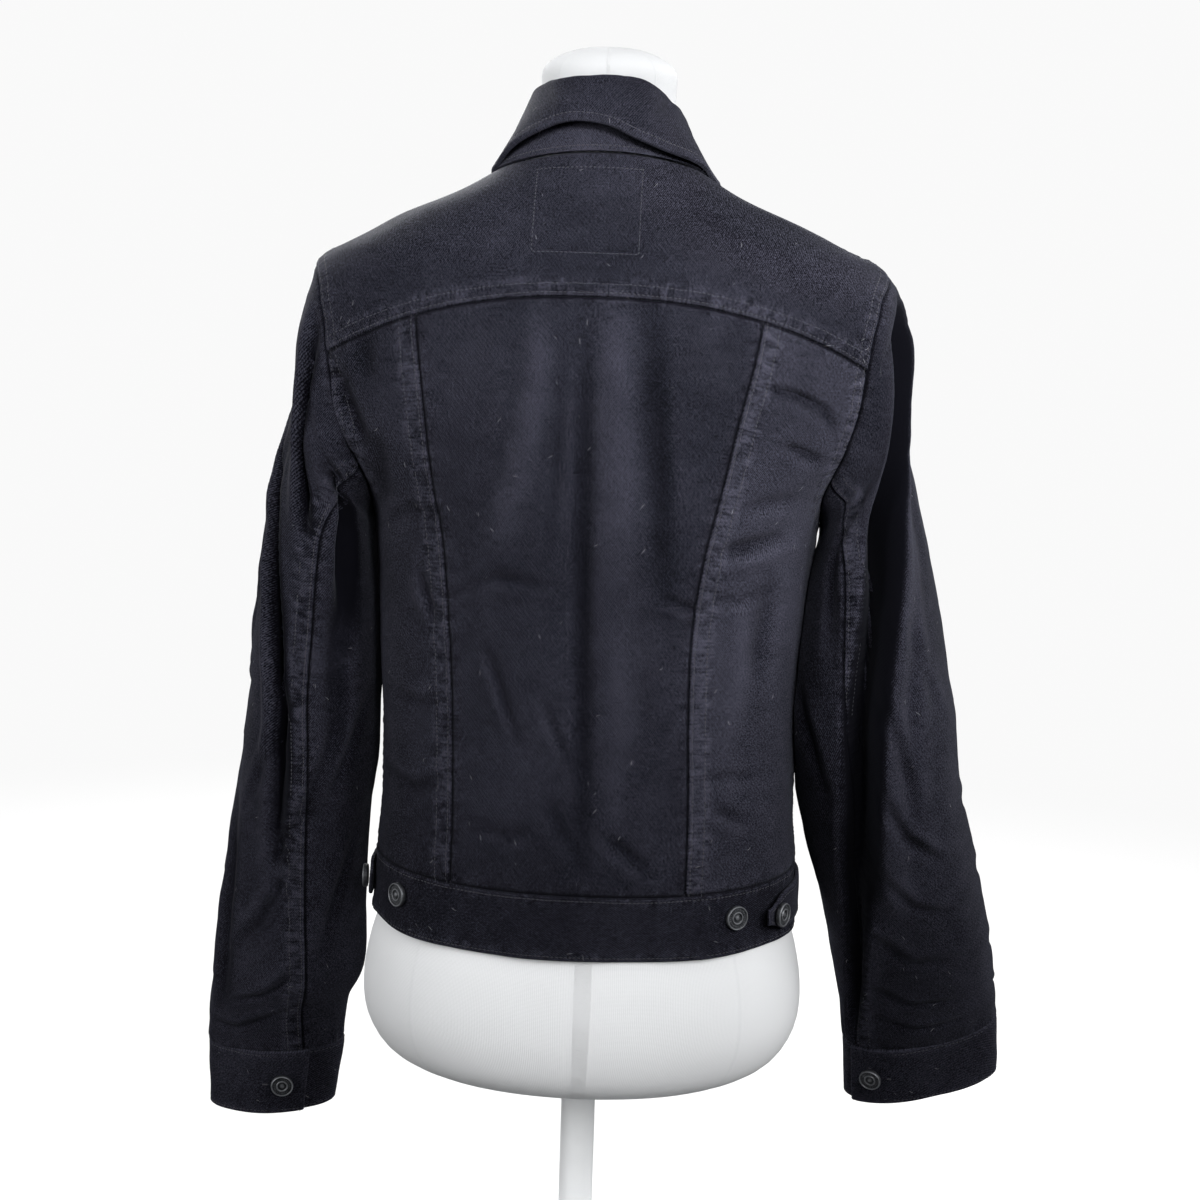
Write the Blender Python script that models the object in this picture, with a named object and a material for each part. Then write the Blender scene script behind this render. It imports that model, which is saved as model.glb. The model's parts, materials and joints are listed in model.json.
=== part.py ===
"""A denim jacket on a limbless dress form with a round stand.

Metres, +Z up. The origin is the centre of the stand's underside. The jacket's front faces -Y and the
wearer's left is +X. Heights in the tables are measured from the jacket's hem. Angles run from the centre
back (0 degrees) by the wearer's left side (90) to the centre front (180), and the wearer's right side is
negative.
"""

from bisect import bisect_right
from collections import namedtuple
from math import asin, atan2, copysign, cos, degrees, pi, radians, sin

import bmesh
import bpy
from mathutils import Vector

# Driving sizes
HEM_HEIGHT = 0.30
BAND_LEVEL = 0.045
UNDERARM_LEVEL = 0.300
NECK_LEVEL = 0.543
CLOTH = 0.0018
DOUBLE_CLOTH = 0.0026
SEAM_GAP = 0.0003
LAYER_GAP = 0.0005
SHOULDER_SEAM_ANGLE = 97
SIDE_SEAM_ANGLE = 90
PLACKET_HALF_WIDTH = 0.019
BUTTON_RADIUS = 0.0085
BUTTON_HEIGHT = 0.0036
BASE_RADIUS = 0.125
BASE_THICKNESS = 0.012
POLE_RADIUS = 0.0125

# Colours: red, green, blue, roughness, metallic
DENIM = (0.036, 0.037, 0.047, 0.86, 0.0)
GUNMETAL = (0.055, 0.06, 0.07, 0.35, 0.9)
JERSEY = (0.83, 0.85, 0.88, 0.75, 0.0)
STAND_PAINT = (0.80, 0.81, 0.83, 0.45, 0.0)

# The jacket's body, ring by ring. A ring's level is its height at the centre back.
Ring = namedtuple("Ring", "level side_height front_height half_width back_depth front_depth squareness")
BODY_RINGS = (
    Ring(0.000, 0.003, 0.000, 0.1535, 0.1120, 0.1070, 2.3),
    Ring(0.045, 0.048, 0.045, 0.1515, 0.1100, 0.1050, 2.3),
    Ring(0.085, 0.087, 0.085, 0.1485, 0.1075, 0.1030, 2.3),
    Ring(0.130, 0.130, 0.130, 0.1480, 0.1050, 0.1015, 2.3),
    Ring(0.180, 0.180, 0.180, 0.1500, 0.1045, 0.1025, 2.3),
    Ring(0.230, 0.230, 0.230, 0.1520, 0.1065, 0.1075, 2.3),
    Ring(0.270, 0.270, 0.270, 0.1545, 0.1100, 0.1140, 2.3),
    Ring(0.310, 0.310, 0.308, 0.1605, 0.1130, 0.1180, 2.35),
    Ring(0.350, 0.350, 0.344, 0.1900, 0.1135, 0.1175, 2.4),
    Ring(0.390, 0.390, 0.378, 0.2070, 0.1125, 0.1140, 2.4),
    Ring(0.430, 0.428, 0.410, 0.2120, 0.1080, 0.1080, 2.4),
    Ring(0.460, 0.453, 0.430, 0.2070, 0.1010, 0.1020, 2.4),
    Ring(0.478, 0.4706, 0.440, 0.1905, 0.0950, 0.0980, 2.4),
    Ring(0.492, 0.4845, 0.448, 0.1650, 0.0880, 0.0950, 2.4),
    Ring(0.508, 0.499, 0.455, 0.1390, 0.0790, 0.0920, 2.3),
    Ring(0.527, 0.515, 0.462, 0.1010, 0.0670, 0.0890, 2.2),
    Ring(0.543, 0.530, 0.468, 0.0740, 0.0570, 0.0860, 2.1),
)

# Seams of the back, as distance from the centre line at each level
SeamPlace = namedtuple("SeamPlace", "level left right")
PRINCESS_SEAM = (
    SeamPlace(0.045, 0.0890, 0.0740),
    SeamPlace(0.110, 0.0890, 0.0735),
    SeamPlace(0.170, 0.0905, 0.0715),
    SeamPlace(0.225, 0.0935, 0.0715),
    SeamPlace(0.270, 0.0970, 0.0765),
    SeamPlace(0.320, 0.1050, 0.0870),
    SeamPlace(0.370, 0.1115, 0.0970),
    SeamPlace(0.410, 0.1165, 0.1060),
    SeamPlace(0.440, 0.1195, 0.1110),
)
YOKE_SEAM_TOP = 0.4485
YOKE_SEAM_POWER = 2.5

# The armhole, round from the underarm by the back and the shoulder to the front
Knot = namedtuple("Knot", "place angle level")
ARMHOLE = (
    Knot(0, 90, UNDERARM_LEVEL),
    Knot(1, 72, 0.315),
    Knot(2, 61, 0.345),
    Knot(3, 58, 0.376),
    Knot(4, 56.5, 0.405),
    Knot(5, 58.5, 0.435),
    Knot(6, 67, 0.462),
    Knot(7, 97, 0.478),
    Knot(8, 117, 0.470),
    Knot(9, 129, 0.442),
    Knot(10, 132, 0.405),
    Knot(11, 128, 0.365),
    Knot(12, 115, 0.325),
)
UNDERARM, YOKE_END, SHOULDER, ROUND = 0, 4, 7, 13
ARMHOLE_BACK_RISE, ARMHOLE_FRONT_RISE = 8.6, 7.7
BACK_STEPS, YOKE_STEPS, FRONT_STEPS, SHOULDER_STEPS = 7, 5, 12, 5
SHOULDER_ROW_LEVEL = 0.500

# Soft folds of the body: a line between two places, and how wide and deep (ridges are negative)
BodyFold = namedtuple("BodyFold", "low_angle low_level high_angle high_level half_width depth")
BODY_FOLDS = (
    BodyFold(1, 0.060, 3, 0.400, 4, 0.0022),
    BodyFold(18, 0.050, 14, 0.300, 7, 0.0030),
    BodyFold(9, 0.060, 8, 0.330, 6, -0.0022),
    BodyFold(-20, 0.050, -17, 0.280, 7, 0.0030),
    BodyFold(-10, 0.060, -9, 0.300, 6, -0.0020),
    BodyFold(-46, 0.330, -62, 0.385, 7, 0.0035),
    BodyFold(55, 0.060, 50, 0.220, 8, 0.0022),
    BodyFold(-55, 0.060, -50, 0.200, 8, 0.0022),
    BodyFold(140, 0.060, 132, 0.300, 9, 0.0030),
    BodyFold(-140, 0.060, -134, 0.280, 9, 0.0030),
    BodyFold(-95, 0.482, -95, 0.605, 50, 0.0050),
)

# Sleeves, section by section: an outer and an inner point, the middle's place front to back, the depth front
# to back and the back seam's angle round the section (0 is the outer point and 180 the inner one)
Section = namedtuple("Section", "place outer outer_height inner inner_height middle depth back_seam")
SLEEVE_SECTIONS = {
    "left": (
        Section(0, 0.1900, 0.468, 0.1560, 0.300, 0.002, 0.120, 132),
        Section(1, 0.1955, 0.449, 0.1575, 0.291, 0.000, 0.124, 124),
        Section(2, 0.2015, 0.419, 0.1580, 0.283, -0.003, 0.128, 116),
        Section(3, 0.2155, 0.374, 0.1585, 0.272, -0.006, 0.130, 109),
        Section(4, 0.2275, 0.330, 0.1570, 0.258, -0.008, 0.128, 104),
        Section(5, 0.2365, 0.283, 0.1550, 0.240, -0.010, 0.124, 100),
        Section(6, 0.2435, 0.227, 0.1530, 0.205, -0.013, 0.119, 96),
        Section(7, 0.2490, 0.172, 0.1540, 0.160, -0.016, 0.113, 94),
        Section(8, 0.2555, 0.115, 0.1570, 0.108, -0.021, 0.106, 98),
        Section(9, 0.2650, 0.055, 0.1635, 0.050, -0.028, 0.098, 103),
        Section(10, 0.2735, 0.000, 0.1665, -0.005, -0.035, 0.090, 106),
        Section(11, 0.2825, -0.060, 0.1680, -0.062, -0.042, 0.080, 109),
        Section(12, 0.2870, -0.097, 0.1800, -0.093, -0.046, 0.066, 114),
        Section(13, 0.2895, -0.132, 0.1850, -0.128, -0.049, 0.054, 119),
    ),
    "right": (
        Section(0, 0.1900, 0.468, 0.1560, 0.300, 0.002, 0.120, 132),
        Section(1, 0.2035, 0.452, 0.1560, 0.291, 0.001, 0.124, 126),
        Section(2, 0.2105, 0.424, 0.1545, 0.283, 0.001, 0.128, 120),
        Section(3, 0.2155, 0.378, 0.1520, 0.272, 0.002, 0.132, 115),
        Section(4, 0.2225, 0.336, 0.1490, 0.258, 0.003, 0.132, 110),
        Section(5, 0.2335, 0.283, 0.1450, 0.240, 0.005, 0.132, 108),
        Section(6, 0.2470, 0.225, 0.1380, 0.205, 0.007, 0.130, 108),
        Section(7, 0.2585, 0.168, 0.1360, 0.160, 0.006, 0.126, 109),
        Section(8, 0.2680, 0.110, 0.1480, 0.108, -0.002, 0.116, 114),
        Section(9, 0.2825, 0.060, 0.1610, 0.053, -0.018, 0.104, 124),
        Section(10, 0.2950, 0.011, 0.1760, 0.002, -0.035, 0.094, 134),
        Section(11, 0.3060, -0.034, 0.1870, -0.047, -0.053, 0.084, 142),
        Section(12, 0.3120, -0.063, 0.1940, -0.083, -0.063, 0.070, 146),
        Section(13, 0.3160, -0.091, 0.2000, -0.116, -0.073, 0.058, 148),
    ),
}
LAST_SECTION = 13
FRONT_SEAM_ANGLE = -104
SLEEVE_RINGS = 19
BACK_SEAM_STEP, FRONT_SEAM_STEP = 4, 20
HEAD_SECTIONS = 4.5
HEAD_SPREAD = 0.022

# Folds of the sleeves: from one place and angle to another, how wide in degrees, and how deep
SleeveFold = namedtuple("SleeveFold", "start start_angle end end_angle half_width depth")
SLEEVE_FOLDS = {
    "left": (
        SleeveFold(2.5, 16, 7.0, 56, 15, 0.0045),
        SleeveFold(6.5, 54, 10.5, 76, 14, 0.0040),
        SleeveFold(0.6, 62, 4.4, 84, 14, 0.0045),
        SleeveFold(5.0, 112, 8.0, 118, 14, 0.0035),
        SleeveFold(4.5, -70, 9.0, -50, 16, 0.0040),
        SleeveFold(8.5, 20, 12.0, 40, 14, 0.0035),
        SleeveFold(1.0, -80, 4.5, -100, 14, 0.0035),
    ),
    "right": (
        SleeveFold(0.8, 48, 5.0, 80, 15, 0.0060),
        SleeveFold(4.5, 78, 8.5, 100, 15, 0.0065),
        SleeveFold(8.0, 98, 12.5, 136, 15, 0.0050),
        SleeveFold(1.5, 30, 8.5, 66, 13, -0.0025),
        SleeveFold(7.0, 60, 8.6, 30, 11, 0.0040),
        SleeveFold(4.5, -70, 9.0, -50, 16, 0.0040),
        SleeveFold(1.0, -80, 4.5, -100, 14, 0.0035),
    ),
}
BODY_CLEARANCE = 0.0016

# Cuffs: the lower edge's outer and inner points, their middle and the depth front to back
Cuff = namedtuple("Cuff", "outer outer_height inner inner_height middle depth")
CUFFS = {
    "left": Cuff(0.2895, -0.184, 0.1915, -0.177, -0.052, 0.050),
    "right": Cuff(0.3200, -0.139, 0.2035, -0.163, -0.081, 0.047),
}
# Angles round the cuff: past the back seam to the over end, how far the ends overlap, how long before the
# overlap the over end starts to rise, and from the over end to the button
CUFF_EDGE_PAST_SEAM = 6
CUFF_OVERLAP = 34
CUFF_RISE = 46
CUFF_BUTTON_SETBACK = 22
CUFF_STEPS = 26
CUFF_TOP_SHARE = 0.01

# The collar, by angle round the neck: how high and how far in the fold stands, and where the fall's edge is
CollarPlace = namedtuple("CollarPlace", "angle rise lean roll edge_angle edge_level edge_gap edge_rise bulge")
COLLAR = (
    CollarPlace(-173, 0.010, 0.000, 0.0040, -160, 0.477, 0.0045, 0.000, 0.0030),
    CollarPlace(-158, 0.018, 0.006, 0.0045, -146, 0.506, 0.0045, 0.000, 0.0040),
    CollarPlace(-135, 0.031, 0.016, 0.0042, -126, 0.527, 0.0042, 0.000, 0.0040),
    CollarPlace(-110, 0.039, 0.021, 0.0038, -106, 0.5365, 0.0035, 0.000, 0.0010),
    CollarPlace(-80, 0.040, 0.0215, 0.0038, -76, 0.5415, 0.0030, 0.000, -0.0015),
    CollarPlace(-50, 0.043, 0.020, 0.0042, -36, 0.538, 0.0105, 0.001, 0.0005),
    CollarPlace(-22, 0.048, 0.011, 0.0055, -15, 0.536, 0.0265, 0.000, 0.0035),
    CollarPlace(0, 0.048, 0.007, 0.0060, 0, 0.536, 0.0283, 0.0075, 0.0040),
    CollarPlace(22, 0.049, 0.011, 0.0055, 15, 0.536, 0.0270, 0.010, 0.0035),
    CollarPlace(50, 0.052, 0.022, 0.0042, 35, 0.538, 0.0130, 0.010, 0.0005),
    CollarPlace(80, 0.052, 0.026, 0.0038, 76, 0.5415, 0.0030, 0.001, -0.0015),
    CollarPlace(110, 0.044, 0.023, 0.0038, 106, 0.5365, 0.0035, 0.000, 0.0010),
    CollarPlace(135, 0.032, 0.016, 0.0042, 126, 0.527, 0.0042, 0.000, 0.0040),
    CollarPlace(158, 0.018, 0.006, 0.0045, 146, 0.506, 0.0045, 0.000, 0.0040),
    CollarPlace(173, 0.010, 0.000, 0.0040, 160, 0.477, 0.0045, 0.000, 0.0030),
)
COLLAR_FOOT_GAP = 0.0008
COLLAR_FOOT_OVER_FRONT = 0.0018
COLLAR_STEPS = 28

# Waist tabs, from the side seam towards the back, and the buttons round the waistband
TAB_START_ANGLE = 97
TAB_END_ANGLE = {"left": 76, "right": 54}
TAB_LEVEL = 0.0225
TAB_HALF_HEIGHT = 0.0135
TAB_POINT_START = 0.72
TAB_POINT_HEIGHT = 0.4
TAB_CURL = {"left": 0.0025, "right": 0.0055}
TAB_BUTTON_SETBACK = 6
TAB_STEPS = 8
WAIST_BUTTON_PLACE = {"left": 0.1265, "right": 0.1085}
WAIST_BUTTON_LEVEL = 0.0265
FRONT_BUTTONS = 5
LOWEST_BUTTON_LEVEL, HIGHEST_BUTTON_LEVEL = 0.075, 0.521

# The right front and the waistband's right end lie over the left ones
OVERLAP_START_ANGLE = 146
OVERLAP_FULL_ANGLE = 170
BAND_OVERLAP_ANGLE = 189
BAND_STEPS = 50

# How far inside the jacket's outer face the dress form stays, by level, and how much narrower it is besides
Ease = namedtuple("Ease", "level distance narrower")
FORM_EASE = (
    Ease(0.000, 0.0045, 0.000),
    Ease(0.050, 0.0065, 0.000),
    Ease(0.130, 0.0130, 0.000),
    Ease(0.200, 0.0120, 0.000),
    Ease(0.270, 0.0080, 0.000),
    Ease(0.310, 0.0075, 0.003),
    Ease(0.350, 0.0080, 0.024),
    Ease(0.400, 0.0080, 0.034),
    Ease(0.440, 0.0070, 0.032),
    Ease(0.465, 0.0055, 0.022),
    Ease(0.478, 0.0060, 0.012),
    Ease(0.495, 0.0080, 0.002),
    Ease(0.515, 0.0090, 0.000),
    Ease(0.543, 0.0110, 0.000),
)
FORM_BODY_RINGS = 20
FORM_HIPS = (
    Ring(-0.1120, -0.1120, -0.1120, 0.1020, 0.0720, 0.0690, 2.1),
    Ring(-0.1085, -0.1085, -0.1085, 0.1260, 0.0900, 0.0860, 2.1),
    Ring(-0.0960, -0.0960, -0.0960, 0.1460, 0.1050, 0.1000, 2.15),
    Ring(-0.0740, -0.0740, -0.0740, 0.1580, 0.1120, 0.1060, 2.2),
    Ring(-0.0480, -0.0480, -0.0480, 0.1600, 0.1135, 0.1070, 2.25),
    Ring(-0.0200, -0.0200, -0.0200, 0.1555, 0.1110, 0.1055, 2.3),
)
FORM_NECK = (
    Ring(0.5560, 0.5470, 0.5000, 0.0515, 0.0455, 0.0640, 2.0),
    Ring(0.5700, 0.5640, 0.5420, 0.0468, 0.0415, 0.0540, 2.0),
    Ring(0.5860, 0.5840, 0.5780, 0.0462, 0.0405, 0.0495, 2.0),
    Ring(0.5980, 0.5980, 0.5960, 0.0458, 0.0400, 0.0475, 2.0),
    Ring(0.6065, 0.6065, 0.6060, 0.0370, 0.0335, 0.0400, 2.0),
    Ring(0.6120, 0.6120, 0.6120, 0.0225, 0.0215, 0.0260, 2.0),
)
FORM_TOP = 0.6140
FORM_SIDES = 28


def clear_scene():
    for obj in list(bpy.data.objects):
        bpy.data.objects.remove(obj)


def blend_rows(rows, place):
    """The table's row at a place, with each column on a smooth curve through its values."""
    last = len(rows) - 1
    i = max(0, min(last - 1, bisect_right([row[0] for row in rows], place) - 1))
    before, low, high, after = rows[max(i - 1, 0)], rows[i], rows[i + 1], rows[min(i + 2, last)]
    span = high[0] - low[0]
    t = min(1, max(0, (place - low[0]) / span))
    values = []
    for a, b, c, d in zip(before, low, high, after):
        slope_in = span * (c - a) / (high[0] - before[0])
        slope_out = span * (d - b) / (after[0] - low[0])
        values.append(
            b * (2 * t**3 - 3 * t**2 + 1)
            + slope_in * (t**3 - 2 * t**2 + t)
            + c * (3 * t**2 - 2 * t**3)
            + slope_out * (t**3 - t**2)
        )
    return type(low)(*values)


def smooth(t):
    t = min(1, max(0, t))
    return t * t * (3 - 2 * t)


def bump(distance, half_width):
    """1 at no distance, falling smoothly to 0 at the half width."""
    return smooth(1 - abs(distance) / half_width)


def power_of(value, power):
    return copysign(abs(value) ** power, value)


def ring_point(ring, angle):
    across, along = sin(radians(angle)), cos(radians(angle))
    depth = ring.back_depth if along > 0 else ring.front_depth
    end_height = ring.level if along > 0 else ring.front_height
    height = ring.side_height + (end_height - ring.side_height) * along**2
    power = 2 / ring.squareness
    return Vector(
        (ring.half_width * power_of(across, power), depth * power_of(along, power), HEM_HEIGHT + height)
    )


def body_fold(angle, level):
    """How far the body's face is pressed in by its folds."""
    depth = 0
    for fold in BODY_FOLDS:
        along = (level - fold.low_level) / (fold.high_level - fold.low_level)
        if 0 < along < 1:
            middle = fold.low_angle + (fold.high_angle - fold.low_angle) * along
            depth += fold.depth * bump(angle - middle, fold.half_width) * sin(pi * along)
    return depth


def body_normal(angle, level):
    step_angle, step_level = 0.5, 0.001
    low_level = min(level, NECK_LEVEL - step_level)
    ring, next_ring = blend_rows(BODY_RINGS, low_level), blend_rows(BODY_RINGS, low_level + step_level)
    round_it = ring_point(ring, angle + step_angle) - ring_point(ring, angle - step_angle)
    up_it = ring_point(next_ring, angle) - ring_point(ring, angle)
    return up_it.cross(round_it).normalized()


def body_point(angle, level, out=0.0):
    """A point of the jacket's outer face, moved out along its normal."""
    face = ring_point(blend_rows(BODY_RINGS, level), angle)
    return face + body_normal(angle, level) * (out - body_fold(angle, level))


def angle_at(distance, level):
    """The angle from the centre line at which a ring is this far from it."""
    ring = blend_rows(BODY_RINGS, level)
    return degrees(asin(min(1, distance / ring.half_width) ** (ring.squareness / 2)))


def clear_of_body(point, clearance):
    """The point, moved straight out where it is inside the jacket's body or too near it."""
    height = point.z - HEM_HEIGHT
    level = min(height, BODY_RINGS[-1].level)
    for _ in range(3):
        ring = blend_rows(BODY_RINGS, level)
        depth = ring.back_depth if point.y > 0 else ring.front_depth
        along = min(1, abs(point.y) / depth)
        end_height = ring.level if point.y > 0 else ring.front_height
        level += height - (ring.side_height + (end_height - ring.side_height) * along**2)
    ring = blend_rows(BODY_RINGS, level)
    depth = ring.back_depth if point.y > 0 else ring.front_depth
    power = ring.squareness
    reach = (abs(point.x / ring.half_width) ** power + abs(point.y / depth) ** power) ** (1 / power)
    outward = Vector((point.x, point.y, 0))
    push = outward.length / reach + clearance - outward.length
    rise = ARMHOLE_BACK_RISE if point.y > 0 else ARMHOLE_FRONT_RISE
    hole_edge = UNDERARM_LEVEL + rise * point.y**2
    on_panel = smooth((hole_edge + 0.006 - height) / 0.012) * smooth(1 + height / 0.02)
    return point + outward.normalized() * max(0, push) * on_panel


def add_object(name, mesh, colour):
    material = bpy.data.materials.new(name)
    material.use_nodes = True
    shader = material.node_tree.nodes["Principled BSDF"]
    red, green, blue, roughness, metallic = colour
    shader.inputs["Base Color"].default_value = (red, green, blue, 1)
    shader.inputs["Roughness"].default_value = roughness
    shader.inputs["Metallic"].default_value = metallic
    mesh.materials.append(material)
    mesh.shade_smooth()
    mesh.set_sharp_from_angle(angle=radians(40))
    obj = bpy.data.objects.new(name, mesh)
    bpy.context.scene.collection.objects.link(obj)
    return obj


def mesh_from(name, points, faces):
    mesh = bpy.data.meshes.new(name)
    mesh.from_pydata(points, [], faces)
    bm = bmesh.new()
    bm.from_mesh(mesh)
    bmesh.ops.recalc_face_normals(bm, faces=bm.faces)
    bm.to_mesh(mesh)
    bm.free()
    return mesh


def trimmed(grid, trims):
    """The grid with its edges drawn in. The trims are for the first and last row and column."""
    result = [[point.copy() for point in row] for row in grid]
    rows, columns = len(grid), len(grid[0])

    def draw_in(i, j, inner_i, inner_j, along, trim):
        inward = grid[inner_i][inner_j] - grid[i][j]
        along = along.normalized()
        inward -= along * inward.dot(along)
        result[i][j] += inward.normalized() * trim

    first_row, last_row, first_column, last_column = trims
    for j in range(columns):
        for i, inner, trim in ((0, 1, first_row), (rows - 1, rows - 2, last_row)):
            along = grid[i][min(j + 1, columns - 1)] - grid[i][max(j - 1, 0)]
            draw_in(i, j, inner, j, along, trim)
    for i in range(rows):
        for j, inner, trim in ((0, 1, first_column), (columns - 1, columns - 2, last_column)):
            along = grid[min(i + 1, rows - 1)][j] - grid[max(i - 1, 0)][j]
            draw_in(i, j, i, inner, along, trim)
    return result


def add_sheet(name, outer, inner, trims=(SEAM_GAP / 2,) * 4):
    """A closed wall between two grids of points, an outer and an inner one."""
    rows, columns = len(outer), len(outer[0])
    outer, inner = trimmed(outer, trims), trimmed(inner, trims)
    points = [point for grid in (outer, inner) for row in grid for point in row]
    offset = rows * columns
    faces = []
    for i in range(rows - 1):
        for j in range(columns - 1):
            a = i * columns + j
            quad = (a, a + 1, a + columns + 1, a + columns)
            faces.append(quad)
            faces.append(tuple(corner + offset for corner in reversed(quad)))
    rim = list(range(columns))
    rim += [i * columns + columns - 1 for i in range(1, rows)]
    rim += [(rows - 1) * columns + j for j in range(columns - 2, -1, -1)]
    rim += [i * columns for i in range(rows - 2, 0, -1)]
    # Rims that meet at a seam are split along the same diagonal, so that their walls don't cross.
    for a, b in zip(rim, rim[1:] + rim[:1]):
        if points[a].z < points[b].z:
            faces += [(b, a, a + offset), (b, a + offset, b + offset)]
        else:
            faces += [(a, a + offset, b + offset), (b, a, b + offset)]
    add_object(name, mesh_from(name, points, faces), DENIM)


def turned(name, profile, sides, colour):
    """A closed turned mesh: the profile holds (radius, height) from the bottom centre to the top centre."""
    points = [Vector((0, 0, profile[0][1]))]
    for radius, height in profile[1:-1]:
        for k in range(sides):
            turn = 2 * pi * k / sides
            points.append(Vector((radius * cos(turn), radius * sin(turn), height)))
    points.append(Vector((0, 0, profile[-1][1])))
    rings = len(profile) - 2
    faces = []
    for k in range(sides):
        after = (k + 1) % sides
        faces.append((0, 1 + after, 1 + k))
        for r in range(rings - 1):
            low, high = 1 + r * sides, 1 + (r + 1) * sides
            faces.append((low + k, low + after, high + after, high + k))
        top = 1 + (rings - 1) * sides
        faces.append((top + k, top + after, len(points) - 1))
    return add_object(name, mesh_from(name, points, faces), colour)


# The body's panels


def armhole_place(place):
    """Angle and level at a place on the armhole's closed curve."""
    around = [Knot(knot.place - ROUND, knot.angle, knot.level) for knot in ARMHOLE[-2:]]
    around += list(ARMHOLE)
    around += [Knot(knot.place + ROUND, knot.angle, knot.level) for knot in ARMHOLE[:3]]
    knot = blend_rows(around, place)
    return knot.angle, knot.level


def armhole_run(start, end, steps):
    return [armhole_place(start + (end - start) * k / steps) for k in range(steps + 1)]


def straight_run(start, end, steps):
    return [
        (start[0] + (end[0] - start[0]) * k / steps, start[1] + (end[1] - start[1]) * k / steps)
        for k in range(steps + 1)
    ]


def mirrored(run):
    return [(-angle, level) for angle, level in run]


def yoke_level(angle):
    ring = blend_rows(BODY_RINGS, YOKE_SEAM_TOP)
    distance = ring.half_width * abs(sin(radians(angle))) ** (2 / ring.squareness)
    end_angle, end_level = armhole_place(YOKE_END)
    end = ring.half_width * sin(radians(end_angle)) ** (2 / ring.squareness)
    return YOKE_SEAM_TOP - (YOKE_SEAM_TOP - end_level) * (distance / end) ** YOKE_SEAM_POWER


def princess_angle(side, level):
    return angle_at(getattr(blend_rows(PRINCESS_SEAM, level), side), level)


def princess_run(side, steps):
    """Up the princess seam from the waistband to the yoke seam, on the left whichever side it is."""
    top = YOKE_SEAM_TOP
    for _ in range(8):
        top = yoke_level(princess_angle(side, top))
    levels = [BAND_LEVEL + (top - BAND_LEVEL) * k / steps for k in range(steps + 1)]
    return [(princess_angle(side, level), level) for level in levels]


def yoke_run(start_angle, end_angle, steps):
    return [(angle, yoke_level(angle)) for angle, _ in straight_run((start_angle, 0), (end_angle, 0), steps)]


def coons(bottom, right, top, left):
    """A grid of angles and levels between four border runs. Bottom and top go one way, left and right up."""
    columns, rows = len(bottom) - 1, len(left) - 1
    grid = []
    for i in range(rows + 1):
        v = i / rows
        row = []
        for j in range(columns + 1):
            u = j / columns
            place = []
            for axis in (0, 1):
                between_ends = (1 - v) * bottom[j][axis] + v * top[j][axis]
                between_sides = (1 - u) * left[i][axis] + u * right[i][axis]
                corners = (1 - v) * ((1 - u) * bottom[0][axis] + u * bottom[-1][axis])
                corners += v * ((1 - u) * top[0][axis] + u * top[-1][axis])
                place.append(between_ends + between_sides - corners)
            row.append(tuple(place))
        grid.append(row)
    return grid


def add_panel(name, places, lift=None, thickness=CLOTH):
    """A wall over a grid of places. The lift is how far out each angle lies over what is under it."""
    lift = lift or (lambda angle: 0)
    outer = [[body_point(angle, level, lift(angle)) for angle, level in row] for row in places]
    inner = [[body_point(angle, level, lift(angle) - thickness) for angle, level in row] for row in places]
    add_sheet(name, outer, inner)


def front_lift(full):
    """The lift of a layer that rises towards the centre front on the wearer's right."""
    ramp = OVERLAP_FULL_ANGLE - OVERLAP_START_ANGLE
    return lambda angle: full * smooth((-angle - OVERLAP_START_ANGLE) / ramp)


def build_back():
    rises, side_columns, centre_columns = 12, 4, 9
    left, right = princess_run("left", rises), mirrored(princess_run("right", rises))
    hem = straight_run(right[0], left[0], centre_columns)
    yoke_middle = yoke_run(right[-1][0], left[-1][0], centre_columns)
    add_panel("back_centre", coons(hem, left, yoke_middle, right))

    yoke_end_angle = armhole_place(YOKE_END)[0]
    to_armhole = armhole_run(YOKE_END, UNDERARM, BACK_STEPS)
    side_seam = straight_run((SIDE_SEAM_ANGLE, BAND_LEVEL), armhole_place(UNDERARM), rises)
    for side, seam in (("left", left), ("right", mirrored(right))):
        yoke_part = yoke_run(seam[-1][0], yoke_end_angle, side_columns)
        top = yoke_part + to_armhole[1:]
        bottom = straight_run(seam[0], side_seam[0], len(top) - 1)
        grid = coons(bottom, side_seam, top, seam)
        add_panel(f"back_side_{side}", grid if side == "left" else [mirrored(row) for row in grid])

    left_side = armhole_run(YOKE_END, SHOULDER, YOKE_STEPS)
    left_side += straight_run(left_side[-1], (SHOULDER_SEAM_ANGLE, NECK_LEVEL), SHOULDER_STEPS)[1:]
    yoke_bottom = yoke_run(-yoke_end_angle, right[-1][0], side_columns)
    yoke_bottom += yoke_middle[1:] + yoke_run(left[-1][0], yoke_end_angle, side_columns)[1:]
    neckline = straight_run(
        (-SHOULDER_SEAM_ANGLE, NECK_LEVEL), (SHOULDER_SEAM_ANGLE, NECK_LEVEL), len(yoke_bottom) - 1
    )
    add_panel("back_yoke", coons(yoke_bottom, left_side, neckline, mirrored(left_side)))


def front_edge(level):
    return 180 - angle_at(PLACKET_HALF_WIDTH, level)


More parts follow.
